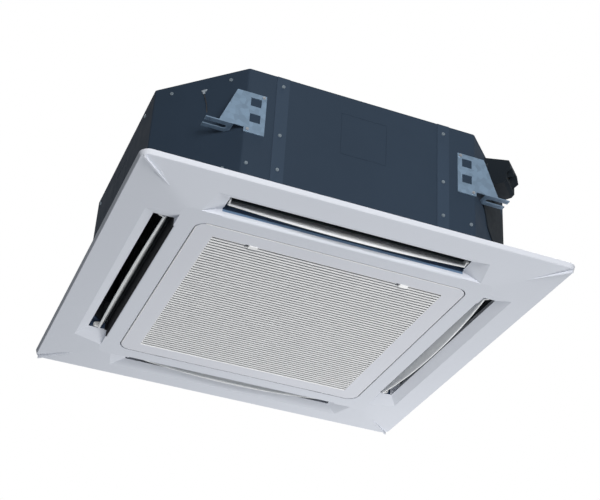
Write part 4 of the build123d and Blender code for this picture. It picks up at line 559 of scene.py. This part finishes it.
class CASSETTE_OT_wiring(CassetteOperator, bpy.types.Operator):
    """Run the room sensor's lead to the control box and clip the wall lead to the casing"""
    bl_idname = "cassette.wiring"
    bl_label = "Leads and clips"

    def execute(self, context):
        sheath = finish("lead_sheath", (0.020, 0.021, 0.024), 0.5, mottle=0.2, cloud=40, grain=300)
        tin = finish("clip_tin", (0.42, 0.47, 0.52), 0.4, metallic=0.6, mottle=0.12, cloud=40, grain=300)
        radius = self.sizes.lead_radius
        self.sensor_lead(sheath, tin, radius)
        self.wall_lead(sheath, tin, radius)
        return {"FINISHED"}

    def sensor_lead(self, sheath, tin, radius):
        """From the room sensor along the bell mouth's plate to the control box cover."""
        sensor, plate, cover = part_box("room_sensor"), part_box("bell_mouth"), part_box("control_box_cover")
        x = (sensor[0][0] + sensor[1][0]) / 2 / MM
        level = (plate[0][2] - radius) / MM
        start, box_x = sensor[0][1] / MM, cover[0][0] / MM
        entry = (cover[0][1] + cover[1][1]) / 2 / MM
        route = [(x, start + 2, level - 3), (x, start - 14, level - 2.5), (x, start - 30, level), (x - 3, 0, level),
                 (x - 3, -120, level), (x + 1, entry + 55, level), (x + 14, entry + 8, level),
                 (x + 38, entry, level), (box_x + 1, entry, level)]
        new_piece("sensor_lead", tube_mesh("sensor_lead", route, radius), "unit", sheath)
        loop = radius / MM
        outline = [*self.arch(loop * SADDLE_OUTER, SADDLE_ANGLES), (-SADDLE_FOOT, SADDLE_SHEET), (-SADDLE_FOOT, 0),
                   *self.arch(loop * SADDLE_INNER, reversed(SADDLE_ANGLES))]
        upright = Matrix(((1, 0, 0, 0), (0, 0, 1, 0), (0, -1, 0, 0), (0, 0, 0, 1)))
        saddles, screws = [], []
        for y in SADDLES_Y:
            place = Matrix.Translation(Vector((x - SADDLE_SHIFT, y, level + loop)) * MM) @ upright
            saddles.append(plate_mesh("saddle", outline, SADDLE_WIDTH, place))
            head = (x - SCREW_SHIFT, y + SADDLE_WIDTH / 2, level + loop - SCREW_SINK)
            screws.append(screw_mesh("screw", frame_at(head, (1, 0, 0), (0, 0, -1))))
        mesh = joined("lead_saddles", saddles + screws)
        mesh.shade_smooth()
        new_piece("lead_saddles", mesh, "unit", tin)

    def arch(self, reach, degrees):
        """Points of a half circle that stands a little above the plate."""
        return [(reach * math.cos(a), reach * math.sin(a) + SADDLE_RISE) for a in map(math.radians, degrees)]

    def wall_lead(self, sheath, tin, radius):
        """A clip high on the near left chamfer, with a short lead under it that goes back into the wall."""
        spot, along, out = Vector(CLIP_SPOT), Vector((1, -1, 0)).normalized(), Vector((-1, -1, 0)).normalized()
        clip = plate_mesh("wall_clip", CLIP_OUTLINE, CLIP_THICK, frame_at(spot, along, out), edge=CLIP_EDGE)
        new_piece("wall_clip", clip, "unit", tin)
        route = [spot + along * u + Vector((0, 0, v)) + out * n for u, v, n in WALL_ROUTE]
        new_piece("wall_lead", tube_mesh("wall_lead", route, radius), "unit", sheath)


class CASSETTE_OT_studio(CassetteOperator, bpy.types.Operator):
    """Set the floor, the lamps, the pale surroundings and the camera"""
    bl_idname = "cassette.studio"
    bl_label = "Studio"

    def execute(self, context):
        scene = context.scene
        scene.view_settings.view_transform = "Standard"
        mesh = bpy.data.meshes.new("floor")
        corners = [(x * FLOOR_REACH, y * FLOOR_REACH, FLOOR_LEVEL) for x, y in ((-1, -1), (1, -1), (1, 1), (-1, 1))]
        mesh.from_pydata(corners, [], [(0, 1, 2, 3)])
        floor = bpy.data.objects.new("floor", mesh)
        scene.collection.objects.link(floor)
        mesh.materials.append(self.pale("floor_paint"))
        self.surroundings(scene)
        for row in LAMPS:
            self.lamp(*row)
        self.camera(scene)
        return {"FINISHED"}

    def surroundings(self, scene):
        """A dim blue air that lights the object, white where it is seen."""
        world = bpy.data.worlds.new("studio_air")
        scene.world = world
        world.use_nodes = True
        tree = world.node_tree
        tree.nodes.clear()
        ambient = tree.nodes.new("ShaderNodeBackground")
        ambient.inputs["Color"].default_value = AMBIENT_COLOUR
        ambient.inputs["Strength"].default_value = AMBIENT_LEVEL
        white = tree.nodes.new("ShaderNodeBackground")
        white.inputs["Color"].default_value = (1, 1, 1, 1)
        white.inputs["Strength"].default_value = 1.0
        mix = tree.nodes.new("ShaderNodeMixShader")
        out = tree.nodes.new("ShaderNodeOutputWorld")
        tree.links.new(self.seen(tree), mix.inputs[0])
        tree.links.new(ambient.outputs[0], mix.inputs[1])
        tree.links.new(white.outputs[0], mix.inputs[2])
        tree.links.new(mix.outputs[0], out.inputs["Surface"])

    def seen(self, tree):
        """One for what the camera sees straight or through glass, and less for a reflection."""
        rays = tree.nodes.new("ShaderNodeLightPath").outputs
        reflected = calc(tree, "MULTIPLY", rays["Is Glossy Ray"], REFLECTED_SHARE)
        through = calc(tree, "MAXIMUM", rays["Is Transmission Ray"], reflected)
        return calc(tree, "MAXIMUM", rays["Is Camera Ray"], through)

    def pale(self, name):
        """Plain pale paint that glows a little, and more where the camera sees it."""
        mat = bpy.data.materials.new(name)
        mat.use_nodes = True
        tree = mat.node_tree
        shader = tree.nodes["Principled BSDF"]
        shader.inputs["Base Color"].default_value = FLOOR_COLOUR
        shader.inputs["Roughness"].default_value = 0.8
        shader.inputs["Emission Color"].default_value = FLOOR_TINT
        glow = calc(tree, "MULTIPLY_ADD", self.seen(tree), FLOOR_GLOW_SEEN, FLOOR_GLOW)
        tree.links.new(glow, shader.inputs["Emission Strength"])
        return mat

    def lamp(self, name, place, target, size, power, colour):
        """A round soft lamp that faces its target."""
        light = bpy.data.lights.new(name, "AREA")
        light.shape = "DISK"
        light.size = size
        light.energy = power
        light.color = colour
        holder = bpy.data.objects.new(name, light)
        bpy.context.scene.collection.objects.link(holder)
        holder.location = place
        holder.rotation_euler = (Vector(target) - Vector(place)).to_track_quat("-Z", "Y").to_euler()

    def camera(self, scene):
        """The viewpoint below the near left corner, with its axes made square to each other."""
        data = bpy.data.cameras.new("photo_camera")
        data.sensor_width = CAMERA_SENSOR
        data.lens = CAMERA_LENS
        data.clip_end = CAMERA_FAR
        eye = bpy.data.objects.new("photo_camera", data)
        scene.collection.objects.link(eye)
        right, forward = Vector(CAMERA_RIGHT).normalized(), Vector(CAMERA_FORWARD).normalized()
        right = (right - forward * right.dot(forward)).normalized()
        up = right.cross(forward)
        turn = Matrix((right, up, -forward)).transposed().to_4x4()
        eye.matrix_world = Matrix.Translation(CAMERA_PLACE) @ turn
        scene.camera = eye


class CASSETTE_PT_sidebar(bpy.types.Panel):
    """Lists the making steps and their settings"""
    bl_idname = "CASSETTE_PT_sidebar"
    bl_label = "Ceiling cassette"
    bl_space_type = "VIEW_3D"
    bl_region_type = "UI"
    bl_category = "Cassette"

    def draw(self, context):
        for group in (context.scene.cassette_colours, context.scene.cassette_sizes):
            for key in group.bl_rna.properties.keys():
                if key not in ("rna_type", "name"):
                    self.layout.prop(group, key)
        for step in STEPS:
            self.layout.operator(step.bl_idname)


STEPS = (CASSETTE_OT_dress_panel, CASSETTE_OT_dress_casing, CASSETTE_OT_dress_works, CASSETTE_OT_filter_cloth,
         CASSETTE_OT_wiring, CASSETTE_OT_studio)
CLASSES = (CassetteColours, CassetteSizes, *STEPS, CASSETTE_PT_sidebar)


def register():
    for cls in CLASSES:
        bpy.utils.register_class(cls)
    bpy.types.Scene.cassette_colours = bpy.props.PointerProperty(type=CassetteColours)
    bpy.types.Scene.cassette_sizes = bpy.props.PointerProperty(type=CassetteSizes)


def unregister():
    del bpy.types.Scene.cassette_sizes
    del bpy.types.Scene.cassette_colours
    for cls in reversed(CLASSES):
        bpy.utils.unregister_class(cls)


def main():
    register()
    for step in STEPS:
        group, action = step.bl_idname.split(".")
        getattr(getattr(bpy.ops, group), action)()


if __name__ == "__main__":
    main()
